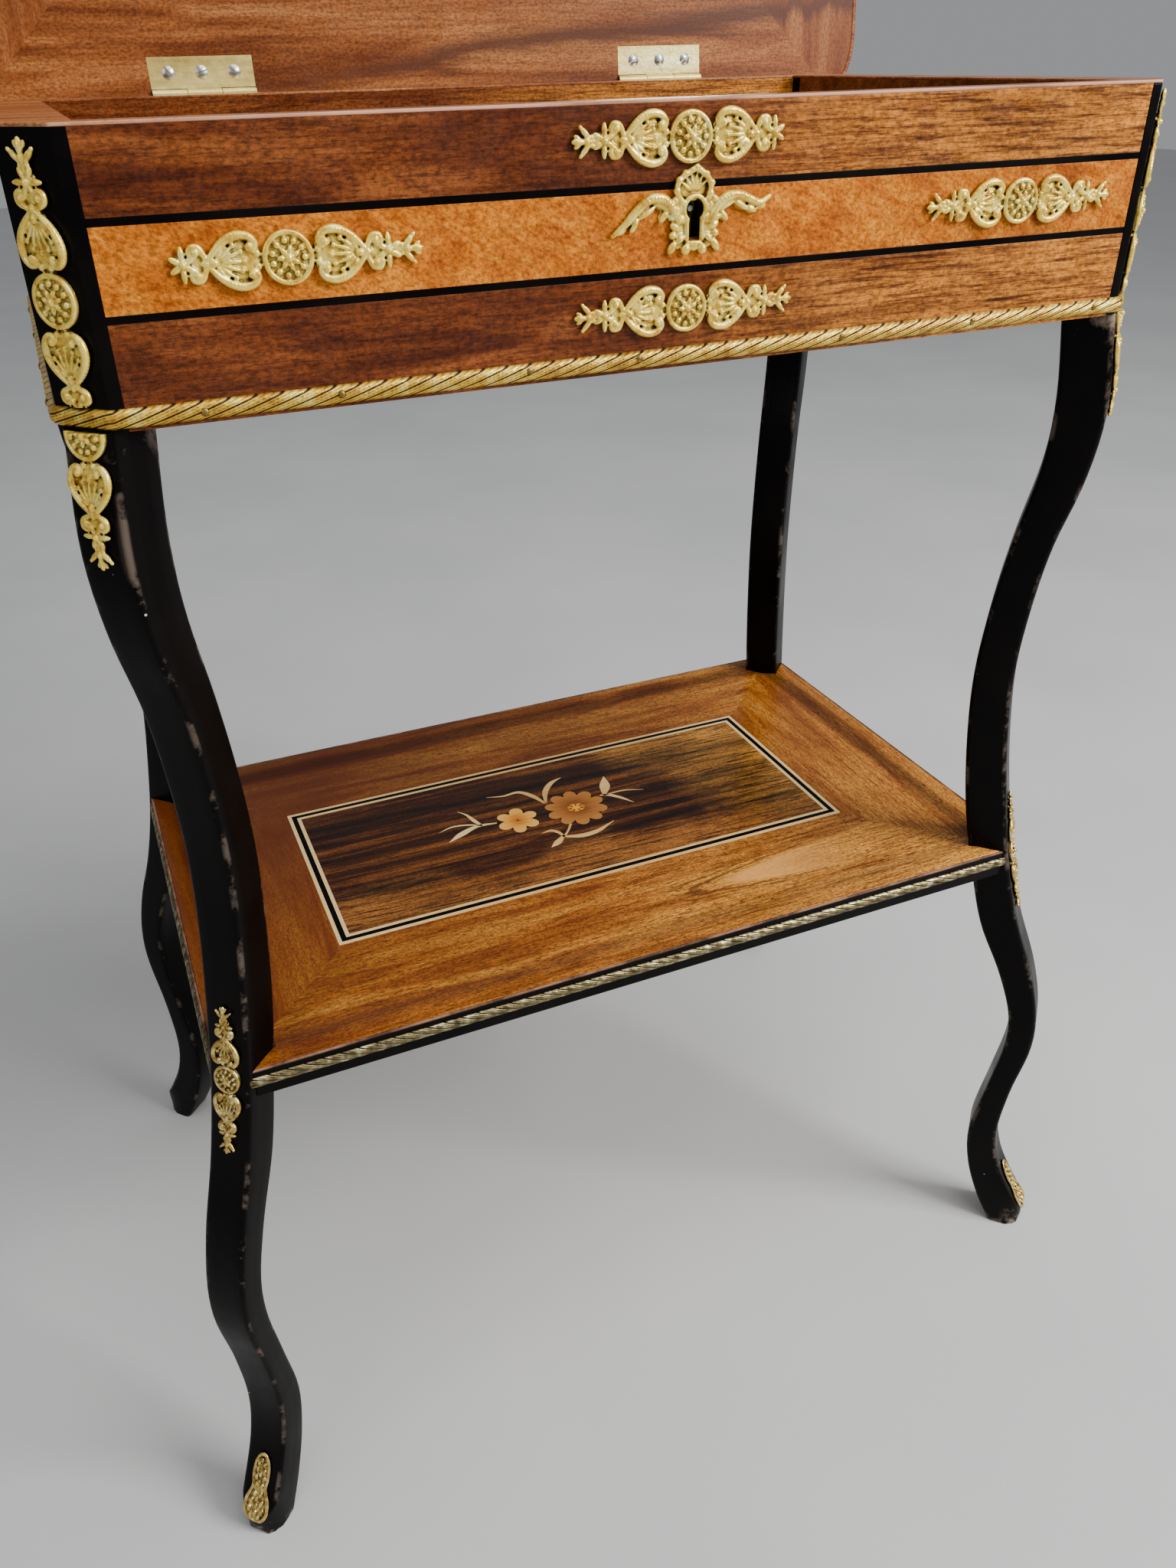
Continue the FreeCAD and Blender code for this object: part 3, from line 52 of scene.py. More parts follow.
# Shader and geometry trees are written through this short helper
class Graph:
    def __init__(self, tree):
        self.tree = tree

    def join(self, value, socket):
        if isinstance(value, bpy.types.NodeSocket):
            self.tree.links.new(value, socket)
        else:
            socket.default_value = value

    def add(self, kind, inputs=None, **settings):
        node = self.tree.nodes.new(kind)
        for key, value in settings.items():
            setattr(node, key, value)
        for key, value in (inputs or {}).items():
            self.join(value, node.inputs[key])
        return node

    def math(self, operation, a, b=0.0, clamp=False):
        return self.add("ShaderNodeMath", {0: a, 1: b}, operation=operation, use_clamp=clamp).outputs[0]

    def plus(self, a, b, clamp=False):
        return self.math("ADD", a, b, clamp)

    def minus(self, a, b):
        return self.math("SUBTRACT", a, b)

    def over(self, a, b):
        return self.math("DIVIDE", a, b)

    def absolute(self, a):
        return self.math("ABSOLUTE", a)

    def times(self, *factors, clamp=False):
        product = factors[0]
        for factor in factors[1:]:
            product = self.math("MULTIPLY", product, factor, clamp)
        return product

    def spread(self, value, low, high, outLow=0.0, outHigh=1.0):
        return self.add("ShaderNodeMapRange", {
            "Value": value, "From Min": low, "From Max": high, "To Min": outLow, "To Max": outHigh,
        }).outputs["Result"]

    # A geometry node put to work on a shape
    def shaped(self, kind, shape, inputs=None, **settings):
        return self.add("GeometryNode" + kind, {0: shape, **(inputs or {})}, **settings).outputs[0]

    def split(self, vector):
        return self.add("ShaderNodeSeparateXYZ", {0: vector}).outputs

    def pack(self, x=0.0, y=0.0, z=0.0):
        return self.add("ShaderNodeCombineXYZ", {0: x, 1: y, 2: z}).outputs[0]

    def moved(self, vector, **change):
        return self.add("ShaderNodeMapping", {"Vector": vector, **change}).outputs[0]

    def noise(self, vector, scale, detail=3.0, rough=0.5, twist=0.0):
        return self.add("ShaderNodeTexNoise", {
            "Vector": vector, "Scale": scale, "Detail": detail, "Roughness": rough, "Distortion": twist,
        }).outputs["Fac"]

    # Noise drawn out along a direction, as wood fibres are
    def grain(self, vector, scale, detail, rough, twist=0.0):
        return self.noise(self.moved(vector, Scale=scale), 1.0, detail, rough, twist)

    def ramp(self, value, *stops):
        node = self.add("ShaderNodeValToRGB", {"Fac": value})
        band = node.color_ramp
        while len(band.elements) < len(stops):
            band.elements.new(0.5)
        for element, (place, colour) in zip(band.elements, stops):
            element.position = place
            element.color = rgb(colour) if isinstance(colour, str) else colour
        return node.outputs["Color"]

    def mix(self, factor, under, over, way="MIX"):
        return self.add("ShaderNodeMix", {0: factor, 6: under, 7: over}, data_type="RGBA",
                        blend_type=way).outputs[2]

    # A colour laid over the tone, as strongly as all the amounts together say
    def stain(self, tone, colour, *amounts):
        return self.mix(self.times(*amounts), tone, rgb(colour))


def rgb(code):
    channels = [int(code[k:k + 2], 16) / 255 for k in (0, 2, 4)]
    return tuple(c / 12.92 if c < 0.0405 else ((c + 0.055) / 1.055) ** 2.4 for c in channels) + (1.0,)


def startMaterial(name, **shaderValues):
    material = bpy.data.materials.new(name)
    material.use_nodes = True
    material.node_tree.nodes.clear()
    graph = Graph(material.node_tree)
    shader = graph.add("ShaderNodeBsdfPrincipled", {
        key.replace("_", " "): value for key, value in shaderValues.items()
    })
    graph.add("ShaderNodeOutputMaterial", {"Surface": shader.outputs[0]})
    place = graph.add("ShaderNodeTexCoord").outputs["Object"]
    return material, graph, shader, place


def dress(graph, shader, tone, rough, height=None, strength=0.0, distance=0.0):
    graph.join(tone, shader.inputs["Base Color"])
    graph.join(rough, shader.inputs["Roughness"])
    if height is not None:
        bump = graph.add("ShaderNodeBump", {"Height": height, "Strength": strength, "Distance": distance})
        graph.join(bump.outputs[0], shader.inputs["Normal"])


# The grain turns through a right angle across each mitre of a border
def mitred(graph, vector, halfX, halfY):
    x, y, z = graph.split(vector)
    side = graph.math("GREATER_THAN", graph.minus(graph.absolute(x), halfX * mm),
                      graph.minus(graph.absolute(y), halfY * mm))
    turned = graph.pack(y, x, graph.plus(z, 3.0))
    return graph.add("ShaderNodeMix", {0: side, 4: vector, 5: turned}, data_type="VECTOR").outputs[1], side


hingeAxis = Vector((0, 150.5, 720.15)) * mm
lidOpen = math.radians(95)
shelfHalf = (243, 149)


# Places on the open lid, read as if it lay closed with its middle over the case
def lidPlace(graph, place):
    place = graph.moved(place, Location=-hingeAxis)
    place = graph.moved(place, Rotation=(lidOpen, 0, 0))
    return graph.moved(place, Location=(0, hingeAxis.y, 0))


woodLooks = {
    "darkVeneer": {
        "dark": "532410", "mid": "783c19", "light": "975427", "figure": (9, 75, 75), "streak": 0.6,
        # Paler and golden towards the right: painted light
        "streakColour": "3a1408", "pores": 0.6, "pale": [((1, 0, 0), -0.01, 0.16, "f29c3c", 0.95)],
    },
    "lightVeneer": {
        "dark": "b55c10", "mid": "dc7c18", "light": "f49a2a", "figure": (16, 110, 110), "twist": 1.2,
        # Near black round the keyhole: a painted shadow in the hole
        "streak": 0.45, "streakColour": "a1551c", "pores": 0.55, "turn": -0.42, "hole": 0.6795,
    },
    "rimVeneer": {
        "dark": "8a4826", "mid": "b06a3c", "light": "cc8c58", "figure": (10, 60, 60), "streak": 0.45,
        "streakColour": "5a280f", "pores": 0.45, "wear": 0.8,
    },
    "lidVeneer": {
        "dark": "743a18", "mid": "a45f2d", "light": "c4824a", "figure": (5, 60, 60), "streak": 0.5,
        "streakColour": "74401f", "pores": 0.5, "onLid": True, "mitre": (243, 151),
        "flame": {"slope": 0.098, "rise": 0.1375, "colour": "4c2614"},
    },
    "lidTopVeneer": {
        "dark": "8a4a18", "mid": "b26c28", "light": "cf8c3e", "figure": (8, 55, 55), "streak": 0.45,
        "streakColour": "6d3410", "pores": 0.45, "onLid": True, "mitre": (198, 102),
    },
    "borderVeneer": {
        "dark": "8d4816", "mid": "c47628", "light": "e8a040", "figure": (7, 60, 60), "twist": 1.2,
        "streak": 0.55, "streakColour": "5c270a", "pores": 0.95, "mitre": (163.7, 71.8), "rough": 0.27,
        # Paler and golden towards the front right: painted light
        "pale": [((1, -1, 0), 0.06, 0.28, "ffb652", 0.85)], "dim": ((1, -1, 0), 0.05, -0.24, 0.84),
        # The darker back left of the border is a painted shadow of the case above
        "hollow": {"wide": 0.0255, "sharp": 0.006, "rim": 0.0085, "colour": "2c130b"},
        "knot": {"tip": (0.040, -0.1035), "long": 0.030, "wide": 0.0085, "rings": "4a2410", "tongue": "eba95a"},
    },
    "rosewoodVeneer": {
        "dark": "180904", "mid": "4c240b", "light": "a05e24", "figure": (4, 75, 75), "streak": 0.85,
        "streakColour": "1c0904", "pores": 0.45, "turn": 0.03, "rough": 0.25,
        # Paler golden streaks towards the right and the front of the field: painted light
        "pale": [((1, 0.6, 0), 0.075, 0.165, "ffb450", 1.0), ((0, -1, 0), 0.036, 0.062, "c07c38", 0.85)],
    },
    "carcaseWood": {
        "dark": "5f3014", "mid": "854a22", "light": "a06436", "figure": (8, 60, 60), "streak": 0.4,
        # Near black round the keyhole: a painted shadow in the hole
        "streakColour": "44200d", "pores": 0.6, "rough": 0.55, "hole": 0.6795,
    },
}


# Signed distance along a slanted direction, broken up a little
def alongWay(graph, place, way, wander):
    run = graph.add("ShaderNodeVectorMath", {0: place, 1: way}, operation="DOT_PRODUCT").outputs["Value"]
    return graph.plus(run, graph.spread(wander, 0.3, 0.7, -0.03, 0.03))


def makeWood(name, look):
    rough = look.get("rough", 0.33)
    material, graph, shader, place = startMaterial(
        name, Specular_IOR_Level=0.16, Coat_Weight=0.07 if rough < 0.5 else 0.0, Coat_Roughness=0.12,
    )
    if look.get("onLid"):
        place = lidPlace(graph, place)
    vector, side = mitred(graph, place, *look["mitre"]) if "mitre" in look else (place, None)
    turn = look.get("turn", 0.0)
    vector = graph.moved(vector, Rotation=(0, turn, turn))
    figure = graph.grain(vector, look["figure"], 7.0, 0.62, look.get("twist", 0.8))
    streak = graph.grain(vector, (30, 620, 620), 7.0, 0.74, 0.5)
    pores = graph.grain(vector, (190, 1300, 1300), 4.0, 0.7, 0.3)
    mottle = graph.grain(vector, (520, 760, 760), 3.0, 0.7)
    cloud = graph.noise(place, 11.0, 3.0, 0.55, 0.3)
    tone = graph.ramp(figure, (0.36, look["dark"]), (0.50, look["mid"]), (0.64, look["light"]))
    # Paler, golden wood towards one side, where the light falls: painted light
    for way, low, high, colour, amount in look.get("pale", ()):
        litShare = graph.times(graph.spread(alongWay(graph, place, way, cloud), low, high),
                             graph.spread(streak, 0.64, 0.44), graph.spread(figure, 0.37, 0.49, 0.45, 1.0))
        tone = graph.stain(tone, colour, litShare, amount)
    tone = graph.stain(tone, look["streakColour"], graph.spread(streak, 0.49, 0.64, 0.0, look["streak"]))
    tone = graph.stain(tone, look["streakColour"], graph.spread(pores, 0.53, 0.62, 0.0, look["pores"]))
    for shade, dark, light in (
        (mottle, (0.38, (0.52, 0.48, 0.44, 1)), (0.60, (1.06, 1.06, 1.06, 1))),
        (cloud, (0.30, (0.74, 0.71, 0.68, 1)), (0.70, (1.0, 1.0, 1.0, 1))),
    ):
        tone = graph.mix(1.0, tone, graph.ramp(shade, dark, light), "MULTIPLY")
    if side is not None:
        tone = graph.stain(tone, look["dark"], side, 0.3)
    x, y, z = graph.split(place)
    # Darker towards the back left of the shelf border: a painted shadow of the case above
    if "dim" in look:
        way, low, high, amount = look["dim"]
        tone = graph.stain(tone, look["streakColour"],
                           graph.spread(alongWay(graph, place, way, cloud), low, high, 0.0, amount))
    # Painted shade mixed with grime in the hollow of the shelf's rim
    if "hollow" in look:
        tone = hollowShadeAndGrime(graph, look["hollow"], x, y, cloud, tone)
    if "knot" in look:
        tone = knotFigure(graph, look["knot"], x, y, figure, tone)
    if "flame" in look:
        tone = flameFigure(graph, look["flame"], x, y, figure, tone)
    if "wear" in look:
        tone = graph.stain(tone, "e0a98c", graph.spread(y, -0.1462, -0.1476),
                           graph.spread(cloud, 0.38, 0.55, 0.35, 1.0), look["wear"])
    # Near black round the keyhole: a painted shadow inside it
    if "hole" in look:
        drop = graph.plus(z, -look["hole"])
        away = graph.math("SQRT", graph.plus(graph.math("POWER", x, 2.0), graph.math("POWER", drop, 2.0)))
        tone = graph.stain(tone, "070403", graph.spread(away, 0.0095, 0.0065))
    rough = graph.spread(graph.noise(place, 70.0, 3.0), 0.3, 0.7, rough - 0.06, rough + 0.1)
    height = graph.plus(graph.times(pores, -0.6), graph.times(streak, 0.4))
    dress(graph, shader, tone, rough, height, 0.25, 0.0003)
    return material


# Painted shade and grime in the hollow inside the shelf's rim, deepest at the right and the back where the
# shade falls
def hollowShadeAndGrime(graph, look, x, y, cloud, tone):
    insideX, insideY = [graph.minus(graph.absolute(run), half * mm) for run, half in zip((x, y), shelfHalf)]
    inside = graph.plus(graph.math("MAXIMUM", insideX, insideY), graph.spread(cloud, 0.3, 0.7, -0.002, 0.002))
    band = graph.times(graph.spread(inside, -look["wide"], look["sharp"] - look["wide"]),
                       graph.spread(inside, -look["rim"], -look["rim"] - look["sharp"]))
    atSide = graph.math("GREATER_THAN", insideX, insideY)
    # Stronger at the sides and the back, where the painted shade is deepest
    amount = graph.spread(graph.math("MAXIMUM", y, graph.times(atSide, 0.1)), -0.02, 0.08, 0.12, 0.62)
    return graph.stain(tone, look["colour"], band, amount)


# A knot in the front border: dark rings round a pale tongue that opens to the right
def knotFigure(graph, look, x, y, figure, tone):
    rise = graph.over(graph.plus(y, -look["tip"][1]), look["wide"])
    run = graph.over(graph.plus(x, -look["tip"][0]), look["long"])
    field = graph.plus(graph.minus(graph.times(rise, rise), run), graph.spread(figure, 0.3, 0.7, -0.5, 0.5))
    near = graph.times(graph.spread(x, 0.012, 0.034), graph.spread(x, 0.150, 0.085),
                       graph.spread(y, -0.0825, -0.0885))
    rings = graph.math("SINE", graph.times(field, 8.0))
    dark = graph.times(graph.spread(rings, 0.1, 0.8), graph.spread(field, 2.6, 0.6),
                       graph.spread(field, -0.45, -0.1))
    tone = graph.stain(tone, look["tongue"], near, graph.spread(field, -0.2, -0.8, 0.0, 0.75))
    return graph.stain(tone, look["rings"], near, dark, 0.75)


# A dark flame across the underside of the lid
def flameFigure(graph, look, x, y, figure, tone):
    line = graph.plus(graph.plus(y, graph.times(x, look["slope"])), -look["rise"])
    line = graph.absolute(graph.plus(line, graph.spread(figure, 0.3, 0.7, -0.006, 0.006)))
    width, reach = graph.spread(line, 0.008, 0.002), graph.spread(x, -0.16, -0.04)
    return graph.stain(tone, look["colour"], width, reach, 0.85)


# Black polish with a few pale specks, rubbed through at the arrises or along the shelf's upper edge; the pale
# arrises stand for wear and a painted highlight together
def makeEbonised(name, flecks, wear=0.0, rim=0.0):
    material, graph, shader, place = startMaterial(
        name, Specular_IOR_Level=0.05, Coat_Weight=0.035, Coat_Roughness=0.12,
    )
    cloud = graph.noise(place, 24.0, 4.0, 0.6)
    tone = graph.ramp(cloud, (0.3, "030202"), (0.7, "0a0706"))
    # Pale on the sharp arrises: rubbed-through wear mixed with a painted highlight along the edges
    if wear:
        edge = graph.add("ShaderNodeNewGeometry").outputs["Pointiness"]
        patch = graph.spread(graph.noise(place, 45.0, 5.0, 0.7), 0.53, 0.62)
        tone = graph.stain(tone, "a08c7c", graph.spread(edge, 0.515, 0.56), patch, wear)
    if rim:
        patch = graph.spread(graph.noise(place, 38.0, 5.0, 0.7), 0.42, 0.60, 0.25, 1.0)
        tone = graph.stain(tone, "a87c62", graph.spread(graph.split(place)[2], 0.3172, 0.3182), patch, rim)
    cell = graph.add("ShaderNodeTexVoronoi", {"Vector": place, "Scale": 85.0}).outputs["Distance"]
    tone = graph.stain(tone, "b9b2a8", graph.math("LESS_THAN", cell, 0.045),
                       graph.math("GREATER_THAN", graph.noise(place, 30.0, 2.0), 1.0 - flecks))
    brush = graph.grain(place, (500, 500, 40), 4.0, 0.6)
    dress(graph, shader, tone, graph.spread(cloud, 0.3, 0.7, 0.26, 0.46), brush, 0.12, 0.0004)
    return material


def makeMetal(name, look):
    material, graph, shader, place = startMaterial(name, Metallic=look["metal"])
    vector = graph.moved(place, Scale=(0.12, 1.0, 1.0)) if look.get("brushed") else place
    cloud = graph.noise(vector, look["cloud"], 5.0, 0.62)
    tone = graph.ramp(cloud, (0.30, look["dark"]), (0.52, look["mid"]), (0.72, look["light"]))
    rough = graph.spread(graph.noise(place, 260.0, 3.0), 0.3, 0.7, look["rough"] - 0.08, look["rough"] + 0.12)
    edge = graph.add("ShaderNodeNewGeometry").outputs["Pointiness"]
    closeness = graph.add("ShaderNodeAmbientOcclusion", {"Distance": 0.0018}, samples=8).outputs["AO"]
    dirt = graph.math("MAXIMUM", graph.spread(edge, 0.50, 0.42), graph.spread(closeness, 0.88, 0.5), clamp=True)
    dirt = graph.times(dirt, look["patina"], clamp=True)
    tone = graph.stain(tone, look["dirt"], dirt)
    rough = graph.plus(rough, graph.times(dirt, 0.3), clamp=True)
    if "groove" in look:
        groove = graph.add("ShaderNodeAttribute", attribute_name="groove").outputs["Fac"]
        tone = graph.stain(tone, look["dirt"], graph.spread(groove, 0.80, 0.50), look["groove"])
    dress(graph, shader, tone, rough, graph.noise(place, 520.0, 3.0, 0.6), look.get("beat", 0.25), 0.0004)
    return material


metalLooks = {
    "giltBright": {"dark": "c8922e", "mid": "ffdc58", "light": "fff29a", "dirt": "281203", "patina": 1.0,
                   "rough": 0.26, "cloud": 210.0, "metal": 0.5, "beat": 0.7},
    "ropeGilt": {"dark": "a8741a", "mid": "e2b434", "light": "ffe878", "dirt": "281203", "patina": 0.8,
                 "rough": 0.28, "cloud": 130.0, "metal": 0.5, "groove": 1.0, "beat": 0.6},
    "ropeAged": {"dark": "3e3320", "mid": "8e7f56", "light": "e8dcae", "dirt": "0c0805", "patina": 0.8,
                 "rough": 0.30, "cloud": 160.0, "metal": 0.85, "groove": 1.0, "beat": 0.4},
    "giltWorn": {"dark": "8a6a2c", "mid": "d2b262", "light": "fdf0b4", "dirt": "160d04", "patina": 1.0,
                 "rough": 0.28, "cloud": 260.0, "metal": 0.9, "beat": 0.6},
    "agedBrass": {"dark": "4d3b1c", "mid": "8a713a", "light": "b59d62", "dirt": "1e140a", "patina": 1.0,
                  "rough": 0.38, "cloud": 180.0, "metal": 1.0},
    "hingeBrass": {"dark": "b89c50", "mid": "e2cc7c", "light": "fbeeb0", "dirt": "5a461c", "patina": 0.6,
                   "rough": 0.30, "cloud": 150.0, "metal": 0.45, "brushed": True},
    "steel": {"dark": "94928c", "mid": "bcbab2", "light": "e6e4dc", "dirt": "24211d", "patina": 0.9,
              "rough": 0.26, "cloud": 300.0, "metal": 0.85},
}


def makeMirror():
    material, graph, shader, place = startMaterial("mirrorGlass", Metallic=1.0)
    haze = graph.noise(place, 40.0, 4.0)
    dress(graph, shader, graph.ramp(haze, (0.3, "d9dcdc"), (0.7, "eceeee")),
          graph.spread(haze, 0.4, 0.8, 0.02, 0.07))
    return material


# Flower veneers: sand-shaded towards a centre given in millimetres on the shelf
def makePetal(name, near, middle, far, centre, reach):
    material, graph, shader, place = startMaterial(
        name, Specular_IOR_Level=0.2, Coat_Weight=0.08, Coat_Roughness=0.12,
    )
    x, y, z = graph.split(place)
    away = graph.add("ShaderNodeVectorMath", {0: graph.pack(x, y), 1: (centre[0] * mm, centre[1] * mm, 0)},
                     operation="DISTANCE").outputs["Value"]
    grain = graph.grain(place, (60, 900, 900), 5.0, 0.6, 0.5)
    shade = graph.plus(graph.spread(away, reach[0] * mm, reach[1] * mm),
                       graph.spread(grain, 0.3, 0.7, -0.22, 0.22), clamp=True)
    dress(graph, shader, graph.ramp(shade, (0.0, near), (0.55, middle), (1.0, far)),
          graph.spread(grain, 0.3, 0.7, 0.24, 0.36), grain, 0.1, 0.0002)
    return material


woods = {name: makeWood(name, look) for name, look in woodLooks.items()}
metals = {name: makeMetal(name, look) for name, look in metalLooks.items()}
ebonised = makeEbonised("ebonisedWood", 0.45)
ebonisedLeg = makeEbonised("ebonisedLeg", 0.45, 0.7)
ebonisedEdge = makeEbonised("ebonisedEdge", 0.45, rim=0.75)
ebonyString = makeEbonised("ebonyString", 0.36)
mirrorGlass = makeMirror()
flowerCentre = (11.5, 7.0)
budCentre = (-28.5, 8.5)
boxwood = makePetal("boxwoodString", "dcaa60", "eac07a", "f2cf92", (0, 0), (0, 180))
petalTan = makePetal("petalTan", "7a3e14", "ac6a2a", "bc7c38", flowerCentre, (4, 19))
petalPale = makePetal("petalPale", "b86214", "e8a03a", "f2b858", budCentre, (1, 12))
heartWood = makePetal("heartWood", "ffb23a", "f29a26", "c87018", flowerCentre, (0, 6))
leafWood = makePetal("leafWood", "d79c52", "ecc47c", "f3d79a", (0, 6), (10, 70))
scorch = makeEbonised("scorchedLine", 0.0)
print("materials ready")


# The mesh as its modifiers leave it, with the modifiers gone
def settle(piece):
    depsgraph = bpy.context.evaluated_depsgraph_get()
    solid = bpy.data.meshes.new_from_object(
        piece.evaluated_get(depsgraph), preserve_all_data_layers=True, depsgraph=depsgraph,
    )
    rough = piece.data
    piece.modifiers.clear()
    piece.data = solid
    bpy.data.meshes.remove(rough)
    return piece


def placed(name, data):
    piece = bpy.data.objects.new(name, data)
    scene.collection.objects.link(piece)
    return piece


def newPiece(name, shape, materials, smoothAngle=None):
    mesh = bpy.data.meshes.new(name)
    shape.to_mesh(mesh)
    shape.free()
    if smoothAngle:
        mesh.shade_smooth()
        mesh.set_sharp_from_angle(angle=math.radians(smoothAngle))
    for material in materials:
        mesh.materials.append(material)
    return placed(name, mesh)


def seat(piece, body, slot, *replaced):
    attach(piece, body)
    if replaced:
        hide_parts(*replaced)
    return piece


def copyOf(node):
    shape = bmesh.new()
    shape.from_mesh(nodes[node].data)
    bmesh.ops.remove_doubles(shape, verts=shape.verts, dist=2e-6)
    bmesh.ops.dissolve_limit(shape, angle_limit=math.radians(0.5), verts=shape.verts, edges=shape.edges)
    return shape


def camel(node):
    words = node.split("_")
    return words[0] + "".join(word.capitalize() for word in words[1:])


# A copy of a CAD node with softened edges
def softened(node, width, materials, segments=2, chooser=None):
    piece = newPiece(camel(node) + "Soft", copyOf(node), materials)
    if chooser:
        for face in piece.data.polygons:
            face.material_index = int(chooser(face.center))
    bevel = piece.modifiers.new("edges", "BEVEL")
    bevel.width = width * mm
    bevel.segments = segments
    bevel.limit_method = "ANGLE"
    bevel.angle_limit = math.radians(32)
    settle(piece)
    piece.data.shade_smooth()
    weighted = piece.modifiers.new("normals", "WEIGHTED_NORMAL")
    weighted.keep_sharp = True
    settle(piece)
    return seat(piece, bodyOf[node], slotOf[node], node)


corners = {"front_left": (-1, -1), "front_right": (1, -1), "back_right": (1, 1), "back_left": (-1, 1)}
finishes = {**woods, **metals, "ebonised": ebonised, "ebonyString": ebonyString, "ebonisedEdge": ebonisedEdge,
            "boxwood": boxwood, "mirrorGlass": mirrorGlass}
# Width of the softened edges in millimetres, finish, and segments where there are three
softEdges = {
    "case_front": (0.4, "carcaseWood"), "case_back": (0.6, "darkVeneer"), "case_left": (0.4, "carcaseWood"),
    "case_right": (0.4, "carcaseWood"), "case_bottom": (0.4, "carcaseWood"), "case_rim": (0.35, "rimVeneer"),
    "front_veneer_top": (0.15, "darkVeneer"), "front_veneer_middle": (0.15, "lightVeneer"),
    "front_veneer_bottom": (0.15, "darkVeneer"), "side_veneer_left": (0.15, "darkVeneer"),
    "side_veneer_right": (0.15, "darkVeneer"), "lid_under_veneer": (0.2, "lidVeneer"),
    "lid_board": (0.3, "carcaseWood"), "shelf_board": (0.5, "borderVeneer"),
    **{"corner_post_" + name: (0.7, "ebonised", 3) for name in corners},
    "case_stringing": (0.15, "ebonyString"), "shelf_edge_moulding": (0.7, "ebonisedEdge", 3),
    "lid_edge_moulding": (1.0, "rimVeneer", 3), "lid_inlay": (0.1, "boxwood"),
    "lid_mirror_bead": (0.9, "agedBrass", 3), "lid_mirror": (0.5, "mirrorGlass"),
    **{"hinge_%s_leaf_%s" % (part, side): (0.2, "hingeBrass")
       for part in ("lid", "case") for side in ("left", "right")},
    "lid_strike_plate": (0.2, "hingeBrass"), "lock_case": (0.2, "hingeBrass"), "lid_screws": (0.12, "steel"),
    "case_screws": (0.12, "steel"), "lock_bolt": (0.3, "steel"), "lock_drill_pin": (0.3, "steel"),
}
for node, (width, finish, *segments) in softEdges.items():
    softened(node, width, [finishes[finish]], *segments)

lidField = {"halfX": 0.197, "low": 0.83, "high": 0.96}


def inLidField(place):
    return abs(place.x) < lidField["halfX"] and lidField["low"] < place.z < lidField["high"]


softened("lid_top_veneer", 0.2, [woods["lidTopVeneer"], woods["rosewoodVeneer"]], chooser=inLidField)
print("boards, posts and fittings softened")

plainNodes = {"leg_pegs": "carcaseWood", "shelf_screws": "steel", "hinge_pins": "steel"}
for node, finish in plainNodes.items():
    nodes[node].data.materials.clear()
    nodes[node].data.materials.append(finishes[finish])


# Curves through given points
def smoothLine(points, steps):
    points = [Vector(p) for p in points]
    rows = [2 * points[0] - points[1]] + points + [2 * points[-1] - points[-2]]
    line = []
    for k in range(len(points) - 1):
        a, b, c, d = rows[k:k + 4]
        t1 = max((b - a).length, 1e-6) ** 0.5
        t2 = t1 + max((c - b).length, 1e-6) ** 0.5
        t3 = t2 + max((d - c).length, 1e-6) ** 0.5
        for j in range(steps):
            t = t1 + (t2 - t1) * j / steps
            p = a.lerp(b, t / t1)
            q = b.lerp(c, (t - t1) / (t2 - t1))
            r = c.lerp(d, (t - t2) / (t3 - t2))
            first = p.lerp(q, t / t2)
            second = q.lerp(r, (t - t1) / (t3 - t1))
            line.append(first.lerp(second, (t - t1) / (t2 - t1)))
    line.append(points[-1])
    return line


# Legs: outward distance and height on the corner's diagonal, from the case down to the toe
leg = {
    "reach": 64, "height": 625, "width": 24, "arris": 2.6, "toeRadius": 12, "toeRise": 70,
    "foot": (233.5, 139.5), "tip": 0.975, "toeTop": 0.0905, "heelTop": 0.0835, "rings": (76, 20),
    "sole": 0.15,
    "outer": (
        (0.010, 1.000), (0.098, 0.928), (0.046, 0.872), (-0.091, 0.814), (-0.166, 0.752),
        (-0.189, 0.688), (-0.124, 0.616), (-0.007, 0.544), (0.114, 0.485), (0.282, 0.427),
        (0.529, 0.362), (0.656, 0.310), (0.676, 0.270), (0.579, 0.200), (0.547, 0.133),
        (0.640, 0.090), (0.850, 0.047), (0.972, 0.026), (1.000, 0.010),
    ),
    "inner": (
        (-0.363, 1.000), (-0.286, 0.936), (-0.296, 0.883), (-0.414, 0.814), (-0.491, 0.752),
        (-0.525, 0.688), (-0.482, 0.618), (-0.375, 0.542), (-0.241, 0.485), (-0.058, 0.419),
        (0.215, 0.360), (0.392, 0.307), (0.418, 0.267), (0.339, 0.200), (0.259, 0.131),
        (0.325, 0.083), (0.490, 0.035), (0.664, 0.000),
    ),
}


legOuter, legInner = [
    smoothLine([(out * leg["reach"], height * leg["height"], 0) for out, height in leg[edge]], 6)
    for edge in ("outer", "inner")
]


